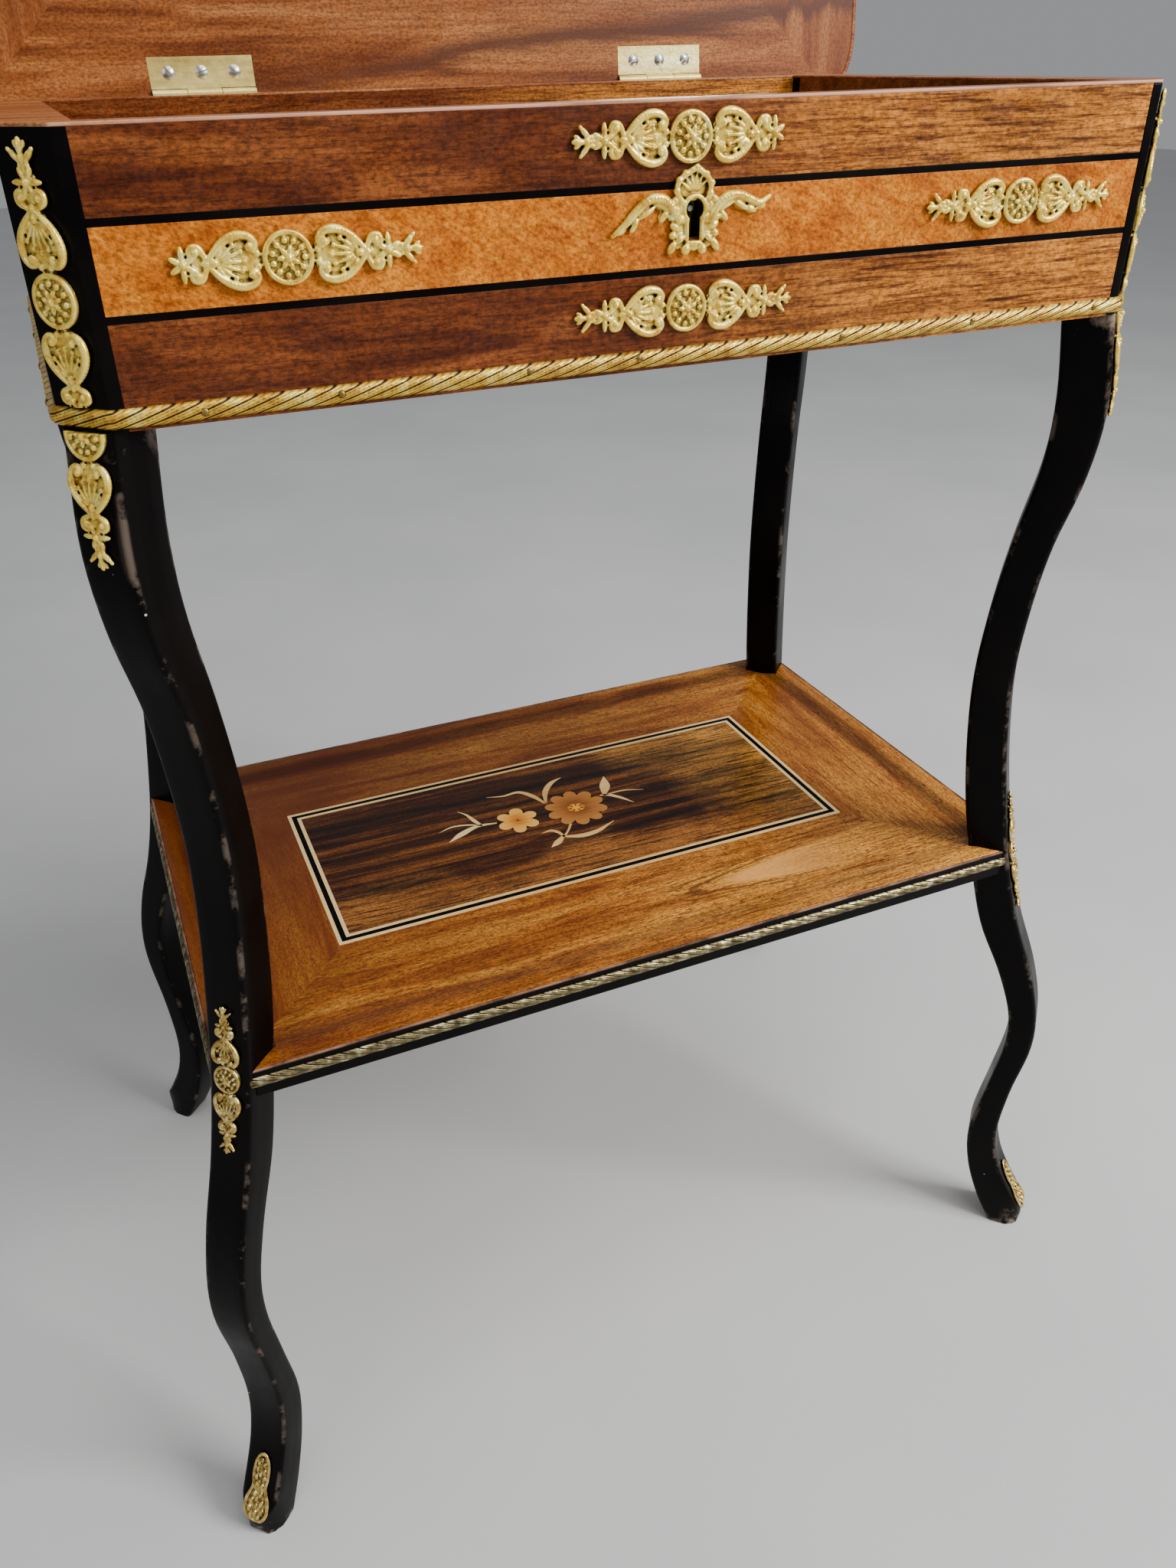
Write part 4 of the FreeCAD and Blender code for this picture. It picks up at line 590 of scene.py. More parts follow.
# Each ring joins a point of the outer line with the point as far along the inner line
def legStations():
    def evenly(line, count):
        runs = [0.0]
        for a, b in zip(line, line[1:]):
            runs.append(runs[-1] + (b - a).length)
        spots, k = [], 0
        for j in range(count):
            run = runs[-1] * j / (count - 1)
            while k < len(line) - 2 and runs[k + 1] < run:
                k += 1
            share = (run - runs[k]) / max(runs[k + 1] - runs[k], 1e-9)
            spots.append(line[k].lerp(line[k + 1], min(share, 1.0)))
        return spots

    toe = next(k for k, spot in enumerate(legOuter) if spot.y < leg["toeTop"] * leg["height"])
    heel = next(k for k, spot in enumerate(legInner) if spot.y < leg["heelTop"] * leg["height"])
    upper, lower = leg["rings"]
    shank = list(zip(evenly(legOuter[:toe + 1], upper), evenly(legInner[:heel + 1], upper)))
    foot = list(zip(evenly(legOuter[toe:], lower), evenly(legInner[heel:], lower)))
    return shank + foot[1:]


# Place on a corner's diagonal: outward from the cut corner, across it, and height, all in millimetres
def onCorner(name, outward, across, height):
    sx, sy = corners[name]
    way = Vector((sx, sy, 0)).normalized()
    aside = Vector((way.y, -way.x, 0))
    middle = Vector((sx * leg["foot"][0], sy * leg["foot"][1], 0))
    return (middle + way * outward + aside * across + Vector((0, 0, height))) * mm


# Rounded section of a leg: distance from its inner edge, and across, with points along each straight
def legSection(thick):
    half, r = leg["width"] / 2, leg["arris"]
    centres = ((thick - r, half - r), (r, half - r), (r, r - half), (thick - r, r - half))
    section = []
    for k, (x, y) in enumerate(centres):
        for j in range(5):
            turn = math.radians(90 * k + 22.5 * j)
            section.append((x + r * math.cos(turn), y + r * math.sin(turn)))
        nextX, nextY = centres[(k + 1) % 4]
        parts = 4 if k % 2 else 3
        for j in range(1, parts):
            section.append((x + (nextX - x) * j / parts + r * math.cos(turn),
                            y + (nextY - y) * j / parts + r * math.sin(turn)))
    return section


def buildLeg(name):
    shape = bmesh.new()
    rings = []
    stations = legStations()
    tip = Vector((leg["tip"] * leg["reach"], 0, 0))
    stations.append((tip, legInner[-1] + Vector((leg["sole"], 0, 0))))
    start = leg["reach"] - leg["toeRadius"]
    for outer, inner in stations:
        span = outer - inner
        thick = span.length
        ring = []
        for depth, across in legSection(thick):
            spot = inner + span * (depth / thick)
            if spot.x > start and spot.y < leg["toeRise"]:
                room = math.sqrt(max(leg["toeRadius"] ** 2 - (spot.x - start) ** 2, 0.01))
                across = max(-room, min(room, across))
            ring.append(shape.verts.new(onCorner(name, spot.x, across, spot.y)))
        rings.append(ring)
    count = len(rings[0])
    for upper, lower in zip(rings, rings[1:]):
        for k in range(count):
            shape.faces.new((upper[k], upper[(k + 1) % count], lower[(k + 1) % count], lower[k]))
    shape.faces.new(rings[0])
    shape.faces.new(rings[-1])
    bmesh.ops.remove_doubles(shape, verts=shape.verts, dist=2e-5)
    bmesh.ops.recalc_face_normals(shape, faces=shape.faces)
    piece = newPiece(camel("leg_" + name) + "Shaped", shape, [ebonisedLeg], 60)
    return seat(piece, "table", "ebonised_wood", "leg_" + name)


for name in corners:
    buildLeg(name)
print("legs shaped")


# A geometry tree with its named inputs: lengths, what else it takes, and the finish
def startTree(name, lengths, others=()):
    tree = bpy.data.node_groups.new(name, "GeometryNodeTree")
    tree.is_modifier = True
    sockets = [(label, "Float") for label in lengths] + list(others) + [("Finish", "Material")]
    for label, kind in [("Geometry", "Geometry")] + sockets:
        tree.interface.new_socket(label, in_out="INPUT", socket_type="NodeSocket" + kind)
    tree.interface.new_socket("Geometry", in_out="OUTPUT", socket_type="NodeSocketGeometry")
    graph = Graph(tree)
    return graph, graph.add("NodeGroupInput").outputs


def finishTree(graph, body, finish):
    body = graph.shaped("RealizeInstances", body)
    graph.add("NodeGroupOutput", {0: graph.shaped("SetMaterial", body, {"Material": finish})})
    return graph.tree


# Twisted rope mouldings, built by a node tree along a path
def ropeTree():
    graph, given = startTree("ropeMoulding", ("Height", "Depth", "Pitch", "Lean", "Relief", "Step"))
    path = graph.shaped("MeshToCurve", given["Geometry"])
    path = graph.shaped("ResampleCurve", path, {"Length": given["Step"]}, mode="LENGTH")
    path = graph.shaped("SetCurveNormal", path, mode="Z_UP")
    along = graph.add("GeometryNodeCaptureAttribute", {"Geometry": path}, domain="POINT")
    along.capture_items.new("FLOAT", "run")
    graph.join(graph.add("GeometryNodeSplineParameter").outputs["Length"], along.inputs[1])
    arc = graph.add("GeometryNodeCurveArc", {
        "Resolution": 39, "Radius": 1.0, "Start Angle": -math.pi / 2, "Sweep Angle": math.pi,
        "Connect Center": True,
    }, mode="RADIUS").outputs[0]
    around = graph.add("GeometryNodeCaptureAttribute", {"Geometry": arc}, domain="POINT")
    around.capture_items.new("VECTOR", "spot")
    graph.join(graph.add("GeometryNodeInputPosition").outputs[0], around.inputs[1])
    size = graph.pack(given["Depth"], graph.times(given["Height"], 0.5), 1.0)
    profile = graph.shaped("Transform", around.outputs[0], {"Scale": size})
    body = graph.shaped("CurveToMesh", along.outputs[0], {"Profile Curve": profile, "Fill Caps": True})
    outward, aside, level = graph.split(around.outputs[1])
    turns = graph.over(graph.minus(along.outputs[1], graph.times(aside, given["Lean"])), given["Pitch"])
    strand, ply = [
        graph.math("POWER", graph.absolute(graph.math("SINE", graph.times(turns, count * math.pi))), bulge)
        for count, bulge in ((1, 0.55), (3, 0.6))
    ]
    height = graph.plus(graph.times(strand, 0.5), graph.times(ply, 0.5))
    lift = graph.times(graph.minus(height, 1.0), given["Relief"], outward)
    offset = graph.add("ShaderNodeVectorMath", {
        0: graph.add("GeometryNodeInputNormal").outputs[0], "Scale": lift,
    }, operation="SCALE").outputs[0]
    body = graph.shaped("StoreNamedAttribute", body, {"Name": "groove", "Value": height},
                        data_type="FLOAT", domain="POINT")
    return finishTree(graph, graph.shaped("SetPosition", body, {"Offset": offset}), given["Finish"])


# The values go to the tree's named inputs, by the identifier of each socket
def runTree(piece, tree, values):
    modifier = piece.modifiers.new("builder", "NODES")
    modifier.node_group = tree
    for item in tree.interface.items_tree:
        if item.item_type == "SOCKET" and item.in_out == "INPUT" and item.name in values:
            modifier[item.identifier] = values[item.name]
    return settle(piece)


def pointPiece(name, points, edges=()):
    mesh = bpy.data.meshes.new(name)
    mesh.from_pydata([Vector(p) * mm for p in points], edges, [])
    return placed(name, mesh)


# Half of the outline of a cut-cornered rectangle, from the back along the left side to the front
def cutPath(halfX, halfY, cut, z):
    return [(-halfX, halfY - cut, z), (-halfX, cut - halfY, z), (cut - halfX, -halfY, z)]


def mirrored(points):
    return points + [(-x, y, z) for x, y, z in points[::-1]]


ropeZ = 629.6
ropes = {
    "baseRope": {
        "Height": 6.8, "Depth": 3.0, "Pitch": 9.6, "Lean": -10.0, "Relief": 1.1, "Step": 0.55,
        "finish": "ropeGilt", "node": "base_rope_moulding", "closed": False,
        "path": mirrored(cutPath(242, 148, 17, ropeZ)),
    },
    "shelfRope": {
        "Height": 6.0, "Depth": 2.0, "Pitch": 9.0, "Lean": 9.0, "Relief": 0.8, "Step": 0.75,
        "finish": "ropeAged", "node": "shelf_rope_trim", "closed": True,
        "path": mirrored(cutPath(*shelfHalf, 16, 311.3)) + [(227, 149, 311.3), (-227, 149, 311.3)],
    },
}


# Doubled points joined, faces turned outward and shaded smooth but for sharp edges
def tidyNormals(piece):
    shape = bmesh.new()
    shape.from_mesh(piece.data)
    bmesh.ops.remove_doubles(shape, verts=shape.verts, dist=1e-6)
    bmesh.ops.recalc_face_normals(shape, faces=shape.faces)
    shape.to_mesh(piece.data)
    shape.free()
    piece.data.shade_smooth()
    piece.data.set_sharp_from_angle(angle=math.radians(70))


twist = ropeTree()
for name, rope in ropes.items():
    count = len(rope["path"])
    edges = [(k, (k + 1) % count) for k in range(count if rope["closed"] else count - 1)]
    sizes = {key: rope[key] * mm for key in ("Height", "Depth", "Pitch", "Lean", "Relief", "Step")}
    piece = runTree(pointPiece(name, rope["path"], edges), twist, {**sizes, "Finish": metals[rope["finish"]]})
    tidyNormals(piece)
    seat(piece, "table", slotOf[rope["node"]], rope["node"])
print("ropes laid")


# Heads of screws and pins, set on points by a node tree
def headTree(kind):
    graph, given = startTree(kind, ("Radius", "Rise", "Slot"), [("Facing", "Vector"), ("Seed", "Int")])
    if kind == "slottedHeads":
        head = graph.add("GeometryNodeMeshCone", {
            "Vertices": 28, "Radius Top": graph.times(given["Radius"], 0.86),
            "Radius Bottom": given["Radius"], "Depth": given["Rise"],
        }).outputs["Mesh"]
        size = graph.pack(graph.times(given["Radius"], 3.0), given["Slot"], given["Rise"])
        bar = graph.add("GeometryNodeMeshCube", {"Size": size}).outputs[0]
        up = graph.pack(z=graph.times(given["Rise"], 1.1))
        bar = graph.shaped("Transform", bar, {"Translation": up})
        head = graph.shaped("MeshBoolean", head, {1: bar}, operation="DIFFERENCE")
    else:
        head = graph.add("GeometryNodeMeshUVSphere", {
            "Segments": 14, "Rings": 8, "Radius": given["Radius"],
        }).outputs["Mesh"]
        squash = graph.pack(1.0, 1.0, graph.over(given["Rise"], given["Radius"]))
        head = graph.shaped("Transform", head, {"Scale": squash})
    spin = graph.add("FunctionNodeRandomValue", {"Min": 0.0, "Max": 3.1, "Seed": given["Seed"]},
                     data_type="FLOAT").outputs["Value"]
    laid = graph.shaped("InstanceOnPoints", given["Geometry"], {"Instance": head, "Rotation": given["Facing"]})
    laid = graph.shaped("RotateInstances", laid, {"Rotation": graph.pack(z=spin)})
    return finishTree(graph, laid, given["Finish"])


def onOpenLid(x, away, out):
    lean = lidOpen - math.pi / 2
    up, face = Vector((0, math.sin(lean), math.cos(lean))), Vector((0, -math.cos(lean), math.sin(lean)))
    return Vector((x, 0, 0)) + hingeAxis / mm + up * away + face * out


heads = {
    "lidScrewHeads": {
        "body": "lid", "slot": "steel", "kind": "slottedHeads", "finish": "steel", "radius": 3.6, "rise": 0.7,
        "slotWide": 0.8, "facing": (math.pi - lidOpen, 0, 0), "seed": 4,
        "points": [onOpenLid(side * 134 + k * 17, 9.75, -0.6) for side in (-1, 1) for k in (-1, 0, 1)],
    },
    "ropePinsFront": {
        "body": "table", "slot": "gilt_brass", "kind": "domedHeads", "finish": "agedBrass", "radius": 1.4,
        "rise": 0.6, "slotWide": 0.0, "facing": (math.pi / 2, 0, 0), "seed": 2,
        "points": [(x, -150.75, ropeZ + rise) for x, rise in (
            (-193.6, -0.3), (-144.2, 0.4), (-70.1, 0.9), (-23.3, 0.8), (71.8, 0.2), (140.0, 0.5), (209.0, 0.6),
        )],
    },
    "ropePinsSides": {
        "body": "table", "slot": "gilt_brass", "kind": "domedHeads", "finish": "agedBrass", "radius": 1.4,
        "rise": 0.6, "slotWide": 0.0, "facing": (0, math.pi / 2, 0), "seed": 2,
        "points": [(side * 244.75, y, ropeZ + 0.3) for side in (-1, 1) for y in (-112, -46, 24, 96)],
    },
}
headTrees = {kind: headTree(kind) for kind in ("slottedHeads", "domedHeads")}
for name, look in heads.items():
    piece = runTree(pointPiece(name, look["points"]), headTrees[look["kind"]], {
        "Radius": look["radius"] * mm, "Rise": look["rise"] * mm, "Slot": look["slotWide"] * mm,
        "Facing": look["facing"], "Seed": look["seed"], "Finish": metals[look["finish"]],
    })
    tidyNormals(piece)
    seat(piece, look["body"], look["slot"])
print("screw heads and pins set")


# Gilt mounts are modelled flat in millimetres: x along, y across, z out of the face
def unitBall(fine):
    shape = bmesh.new()
    bmesh.ops.create_icosphere(shape, subdivisions=fine, radius=1.0)
    spots = [vert.co.copy() for vert in shape.verts]
    faces = [[vert.index for vert in face.verts] for face in shape.faces]
    shape.free()
    return spots, faces


unitBalls = {fine: unitBall(fine) for fine in (2, 3)}


class Relief:
    def __init__(self):
        self.spots, self.faces = [], []

    def ball(self, x, y, z, rx, ry=None, rz=None, turn=0.0, fine=2):
        ry = rx if ry is None else ry
        rz = min(rx, ry) if rz is None else rz
        matrix = Matrix.Translation((x, y, z)) @ Matrix.Rotation(turn, 4, "Z")
        matrix = matrix @ Matrix.Diagonal((rx, ry, rz, 1))
        spots, faces = unitBalls[fine]
        first = len(self.spots)
        self.spots += [matrix @ spot for spot in spots]
        self.faces += [[first + k for k in face] for face in faces]

    # Rows of x, y, z, radii and perhaps a turn, on the side that the signs give
    def balls(self, signX, signY, *rows):
        for x, y, z, *form in rows:
            turn = signX * signY * form[3] if len(form) > 3 else 0.0
            self.ball(signX * x, signY * y, z, *form[:3], turn=turn)

    def tube(self, points, radii, z, signX=1, signY=1):
        line = smoothLine([(signX * x, signY * y, r) for (x, y), r in zip(points, radii)], 8)
        last = None
        for spot in line:
            r = max(spot.z, 0.2)
            if last is None or (Vector(spot.xy) - last).length > 0.45 * r:
                self.ball(spot.x, spot.y, z, r)
                last = Vector(spot.xy)

    def ring(self, x, y, z, radius, thick, start=0.0, stop=math.tau):
        count = max(8, int(abs(stop - start) * radius / (0.5 * thick)))
        for k in range(count + 1):
            turn = start + (stop - start) * k / count
            self.ball(x + radius * math.cos(turn), y + radius * math.sin(turn), z, thick)

    # One skin over all the swelling forms, with a flat back
    def cast(self, voxel):
        mesh = bpy.data.meshes.new("cast")
        mesh.from_pydata(self.spots, [], self.faces)
        piece = placed("cast", mesh)
        remesh = piece.modifiers.new("cast", "REMESH")
        remesh.mode = "VOXEL"
        remesh.voxel_size = voxel
        soften = piece.modifiers.new("soften", "SMOOTH")
        soften.factor = 0.5
        soften.iterations = 2
        settle(piece)
        shape = bmesh.new()
        shape.from_mesh(piece.data)
        for vert in shape.verts:
            vert.co.z = max(vert.co.z, 0.0)
        bmesh.ops.remove_doubles(shape, verts=shape.verts, dist=voxel * 0.2)
        bmesh.ops.dissolve_degenerate(shape, edges=shape.edges, dist=0.01)
        shape.to_mesh(piece.data)
        shape.free()
        mesh = piece.data
        bpy.data.objects.remove(piece)
        return mesh


def roundel(relief):
    relief.ball(0, 0, 0.2, 9.0, 9.0, 1.9, fine=3)
    relief.ring(0, 0, 1.4, 8.0, 1.05)
    for k in range(11):
        turn = math.tau * k / 11
        relief.ball(5.55 * math.cos(turn), 5.55 * math.sin(turn), 2.0, 1.25)
    for k in range(7):
        turn = math.tau * (k + 0.5) / 7
        relief.ball(2.7 * math.cos(turn), 2.7 * math.sin(turn), 2.5, 1.6, 1.0, 1.1, turn)
    relief.ball(0, 0, 3.0, 1.5, 1.5, 1.3)


# A palmette on its ground, a bud and the spray at the end; s is the side, v above or below
def halfPattern(relief, s, whole=True):
    relief.ball(s * 16.4, 0, 0.1, 8.0, 7.8, 1.5, fine=3)
    relief.ball(s * 22.4, 0, 0.1, 5.6, 4.4, 1.4, fine=3)
    relief.ball(s * 30.6, 0, 0.1, 3.4, 4.6, 1.2)
    for v in (-1, 1):
        relief.tube([(27.2, 0.7), (24.8, 3.5), (21.0, 6.6), (16.6, 8.1), (12.7, 7.4), (10.9, 5.2), (11.8, 3.3),
                     (13.4, 3.8)], [0.9, 1.2, 1.5, 1.6, 1.45, 1.25, 1.1, 1.1], 1.7, s, v)
        relief.balls(s, v, (13.0, 4.3, 2.3, 1.5), (10.4, 2.0, 1.2, 1.3))
        relief.tube([(27.6, 0.6), (28.3, 2.6), (29.8, 5.0), (32.2, 5.1), (33.0, 3.3), (31.6, 2.2), (30.5, 3.1)],
                    [0.9, 1.05, 1.2, 1.15, 1.05, 0.9, 0.9], 1.5, s, v)
        relief.balls(s, v, (30.9, 3.6, 2.1, 1.25))
    for k in range(-3, 4):
        turn, long = k * 0.32, 10.2 - 0.42 * k * k
        x, y = s * (25.2 - long * 0.6 * math.cos(turn)), long * 0.6 * math.sin(turn)
        relief.ball(x, y, 1.6, long * 0.4, 0.82, 1.1, -s * turn)
        relief.ball(s * (25.2 - long * math.cos(turn)), long * math.sin(turn), 1.7, 1.05)
    relief.balls(s, 1, (25.0, 0, 2.0, 1.7, 1.4, 1.3), (27.8, 0, 1.6, 1.9, 1.2, 1.3),
                 (35.6, 0, 0.1, 3.2, 3.2, 1.2))
    for k in range(6):
        turn = math.tau * (k + 0.5) / 6
        reach = 3.3 if k in (1, 4) else 2.7
        x, y = s * 35.5 + reach * math.cos(turn), reach * math.sin(turn)
        relief.ball(x, y, 1.5, 2.5, 1.15, 1.0, turn)
        relief.ball(s * 35.5 + 1.62 * reach * math.cos(turn), 1.62 * reach * math.sin(turn), 1.5, 0.7)
    relief.ball(s * 35.5, 0, 2.3, 1.3)
    if whole:
        relief.tube([(38.4, 0), (42.0, 0)], [0.9, 0.9], 1.2, s)
        relief.balls(s, 1, (45.6, 0, 1.5, 3.0, 1.3, 1.2), (48.0, 0, 1.4, 0.5), (42.4, 0, 1.7, 1.3))
        for v in (-1, 1):
            relief.balls(s, v, (42.9, 2.5, 1.4, 2.9, 1.15, 1.1, 0.85), (44.8, 4.6, 1.5, 1.0, 0.75, 0.8, 0.85),
                         (40.4, 1.3, 1.2, 1.0), (46.2, 1.6, 1.3, 1.4, 0.7, 0.8, 0.3))


# The plate round the keyhole: a hollow shell above, two leaves and a scalloped foot
def keyholeRelief(relief):
    relief.ring(0, 0, 1.5, 4.6, 0.95, math.radians(-48), math.radians(228))
    relief.ball(-0.6, 8.2, -0.2, 6.8, 5.6, 1.0, fine=3)
    rim = [(-5.4, 2.6), (-7.4, 5.2), (-7.8, 8.4), (-6.0, 11.0), (-3.2, 12.6), (0.2, 14.0), (3.4, 12.2),
           (5.6, 10.2), (6.6, 7.2), (5.6, 3.6)]
    relief.tube(rim, [1.2, 1.15, 1.1, 1.1, 1.15, 1.25, 1.15, 1.1, 1.1, 1.1], 1.6)
    for x, y in ((-7.9, 6.6), (-7.0, 10.2), (-4.4, 12.4), (0.2, 14.3), (4.4, 11.8), (6.8, 8.8), (6.4, 5.2)):
        relief.ball(x, y, 1.6, 1.5, 1.4, 1.4)
    for turn in (-0.9, -0.55, -0.2, 0.15, 0.5, 0.85):
        relief.ball(-0.4 + 4.6 * math.sin(turn), 5.2 + 4.6 * math.cos(turn), 0.9, 3.2, 0.62, 0.7,
                    math.pi / 2 - turn)
    for s in (-1, 1):
        relief.tube([(3.4, -3.4), (3.3, -6.6), (3.3, -10.4)], [1.1, 1.0, 1.0], 1.4, s)
        relief.balls(
            s, 1, (6.4, -8.2, 0.1, 3.4, 6.0, 1.3), (8.4, -5.8, 1.3, 2.4, 1.5, 1.4, 0.5),
            (9.2, -8.8, 1.2, 1.7, 1.5, 1.3), (9.4, -13.0, 1.3, 2.9, 1.6, 1.4, -1.0),
            (6.2, -10.2, 1.6, 2.2, 1.4, 1.3, -0.7), (3.6, -14.0, 1.5, 2.0, 2.2, 1.5, 0.3),
            (5.8, -3.2, 1.2, 2.4, 2.0, 1.3), (6.6, 0.6, 0.9, 2.0, 3.0, 1.3), (8.4, 3.2, 1.0, 1.6),
        )
    relief.ball(0, -11.9, 1.3, 4.0, 1.1, 1.1)
    relief.ball(0, -13.2, 1.2, 2.0, 1.6, 1.2)
    # The left leaf sweeps down, the right one up
    for s, rib, lobes in (
        (-1, [(7.0, -3.6), (9.6, 0.6), (13.8, 4.2), (19.0, 4.4), (24.4, 1.0), (29.4, -3.6), (34.8, -7.4)],
         (((13.4, 1.6), 4.8, 0.35), ((20.6, -0.2), 4.6, -0.5), ((13.2, -1.8), 3.0, -0.9),
          ((25.6, -4.2), 3.2, -1.0), ((9.6, -2.4), 2.2, 0.2), ((31.0, -5.8), 2.6, -0.6))),
        (1, [(7.0, -3.6), (9.4, 0.4), (13.6, 3.6), (18.6, 4.2), (23.6, 2.4), (28.2, 0.8), (32.4, 2.8)],
         (((13.4, 0.8), 4.8, 0.4), ((19.8, 0.6), 4.6, -0.5), ((12.6, -2.8), 2.8, -0.8),
          ((24.6, -1.2), 3.0, -0.4), ((9.4, -3.2), 2.4, 0.2), ((29.0, -0.4), 2.4, 0.1))),
    ):
        relief.tube(rib, [1.5, 1.8, 2.0, 1.9, 1.7, 1.4, 0.9], 1.7, s)
        for (x, y), long, lean in lobes:
            relief.balls(s, 1, (x, y, 1.2, long, 1.35, 1.4, lean), (x, y, 0.1, long * 0.9, 1.9, 1.0, lean))


def toeRelief(relief):
    relief.ball(-10.4, 0, 0.1, 8.4, 7.4, 1.4, fine=3)
    relief.ball(-1, 0, 0.1, 8.0, 5.0, 1.3, fine=3)
    relief.ball(8, 0, 0.1, 9.5, 4.6, 1.3, fine=3)
    edge = [(-18.0, 0), (-16.6, 4.4), (-12.6, 7.0), (-7.4, 6.9), (-2.8, 5.0), (0.6, 4.1), (5.0, 4.7),
            (10.0, 4.6), (14.4, 3.7), (17.6, 1.6), (18.2, 0)]
    for v in (-1, 1):
        relief.tube(edge, [0.9, 1.1, 1.2, 1.1, 1.0, 1.0, 1.0, 1.0, 0.9, 0.8, 0.9], 1.3, 1, v)
        for x, y, r in ((-14.4, 2.4, 1.3), (-11.2, 4.2, 1.4), (-7.4, 3.2, 1.3), (-3.4, 1.9, 1.1),
                        (1.6, 1.8, 1.0), (5.4, 2.4, 1.2), (9.4, 2.2, 1.1), (13.0, 1.7, 1.0)):
            relief.balls(1, v, (x, y, 1.9, r * 1.25, r, r, 0.6))
    for x, r in ((-12.6, 1.5), (-9.2, 1.3), (-5.6, 1.1), (0.0, 1.0), (3.8, 0.9), (7.4, 1.1), (11.2, 0.9),
                 (15.4, 1.1)):
        relief.ball(x, 0, 2.1, r * 1.1, r, r)


# A copy of a cast relief, bent on to its place
def fitted(name, cast, place, material, node):
    mesh = cast.copy()
    mesh.name = name
    for vert in mesh.vertices:
        vert.co = place(vert.co)
    mesh.materials.append(material)
    mesh.shade_smooth()
    return seat(placed(name, mesh), "table", "gilt_brass", node)


# A cast with everything beyond x cut off and the cut closed
def trimmed(cast, x, keep):
    shape = bmesh.new()
    shape.from_mesh(cast)
    done = bmesh.ops.bisect_plane(
        shape, geom=shape.verts[:] + shape.edges[:] + shape.faces[:], dist=1e-4,
        plane_co=(x, 0, 0), plane_no=(-keep, 0, 0), clear_outer=True,
    )
    rim = [part for part in done["geom_cut"] if isinstance(part, bmesh.types.BMEdge)]
    bmesh.ops.holes_fill(shape, edges=rim)
    bmesh.ops.triangulate(shape, faces=[face for face in shape.faces if len(face.verts) > 4])
    bmesh.ops.recalc_face_normals(shape, faces=shape.faces)
    mesh = bpy.data.meshes.new("trimmed")
    shape.to_mesh(mesh)
    shape.free()
    return mesh


def onFront(x, z):
    return lambda co: Vector((x + co.x, mounts["frontY"] - co.z, z + co.y)) * mm


# How far out the face of a leg stands at a height
def legSurface(height):
    for upper, lower in zip(legOuter, legOuter[1:]):
        if lower.y <= height <= upper.y:
            share = (upper.y - height) / max(upper.y - lower.y, 1e-9)
            return upper.x + (lower.x - upper.x) * share
    return legOuter[0].x if height > legOuter[0].y else legOuter[-1].x


def onLegFace(name, level, scale):
    def place(co):
        height = level + co.x * scale
        return onCorner(name, legSurface(height) + co.z - mounts["legSeat"], co.y * scale, height)
    return place


def onPost(name, level, scale):
    return lambda co: onCorner(name, co.z, co.y * scale, level + co.x * scale)


def reliefOf(*builders):
    relief = Relief()
    for builder in builders:
        builder(relief)
    return relief.cast(mounts["voxel"])


mounts = {
    "voxel": 0.32,
    "front": (
        ("top", -2.5, 707.5, True, False), ("bottom", -2.5, 647.6, True, True),
        ("left", -157, 677.1, False, True), ("right", 157, 677.1, True, True),
    ),
    "corner": {
        "post": (onPost, 668, 1.0, "giltBright"), "knee": (onLegFace, 624, 1.0, "giltBright"),
        "shelf": (onLegFace, 313.5, 0.835, "giltWorn"), "toe": (onLegFace, 32, 1.0, "giltWorn"),
    },
    "postCut": -34.4, "kneeCut": 0.9, "legSeat": 0.2, "frontY": -148.0,
}
for place, x, z, leftWhole, rightWhole in mounts["front"]:
    cast = reliefOf(roundel, lambda relief: halfPattern(relief, -1, leftWhole),
                    lambda relief: halfPattern(relief, 1, rightWhole))
    fitted("frontMount" + place.capitalize(), cast, onFront(x, z), metals["giltBright"],
           "mount_front_" + place)
wholeCast = reliefOf(roundel, lambda relief: halfPattern(relief, 1), lambda relief: halfPattern(relief, -1))
casts = {
    "post": trimmed(wholeCast, mounts["postCut"], 1), "knee": trimmed(wholeCast, mounts["kneeCut"], -1),
    "shelf": wholeCast, "toe": reliefOf(toeRelief),
}
fitted("keyholeLeafPlate", reliefOf(keyholeRelief), onFront(0, 683), metals["giltBright"], "keyhole_plate")
for name in ("front_left", "front_right"):
    for kind, (onFace, level, scale, finish) in mounts["corner"].items():
        fitted(camel("%s_mount_%s" % (kind, name)), casts[kind], onFace(name, level, scale), metals[finish],
               "mount_%s_%s" % (kind, name))
for mesh in [mesh for mesh in bpy.data.meshes if not mesh.users]:
    bpy.data.meshes.remove(mesh)
print("mounts cast")


# Shelf field, string lines and marquetry
shelf = {
    "level": 316.0, "lineX": 163.7, "lineY": 71.8, "shift": 3.4, "lines": (0.0, 2.2, 5.3, 7.5),
    "layers": {
        "field": (-0.8, 0.02), "lines": (-0.8, 0.04), "scorch": (-0.5, 0.04), "leaves": (-0.4, 0.05),
        "petals": (-0.4, 0.06), "hearts": (-0.3, 0.09), "centre": (-0.3, 0.1),
    },
}


# Under and upper side of a layer, in millimetres
def heights(layer, lift=0.0):
    low, high = shelf["layers"][layer]
    return shelf["level"] + low, shelf["level"] + high + lift


# A rectangle inset from the frame of strings
def fieldCorners(inset):
    return [(sx * (shelf["lineX"] - inset), sy * (shelf["lineY"] - inset) + shelf["shift"])
            for sx, sy in corners.values()]


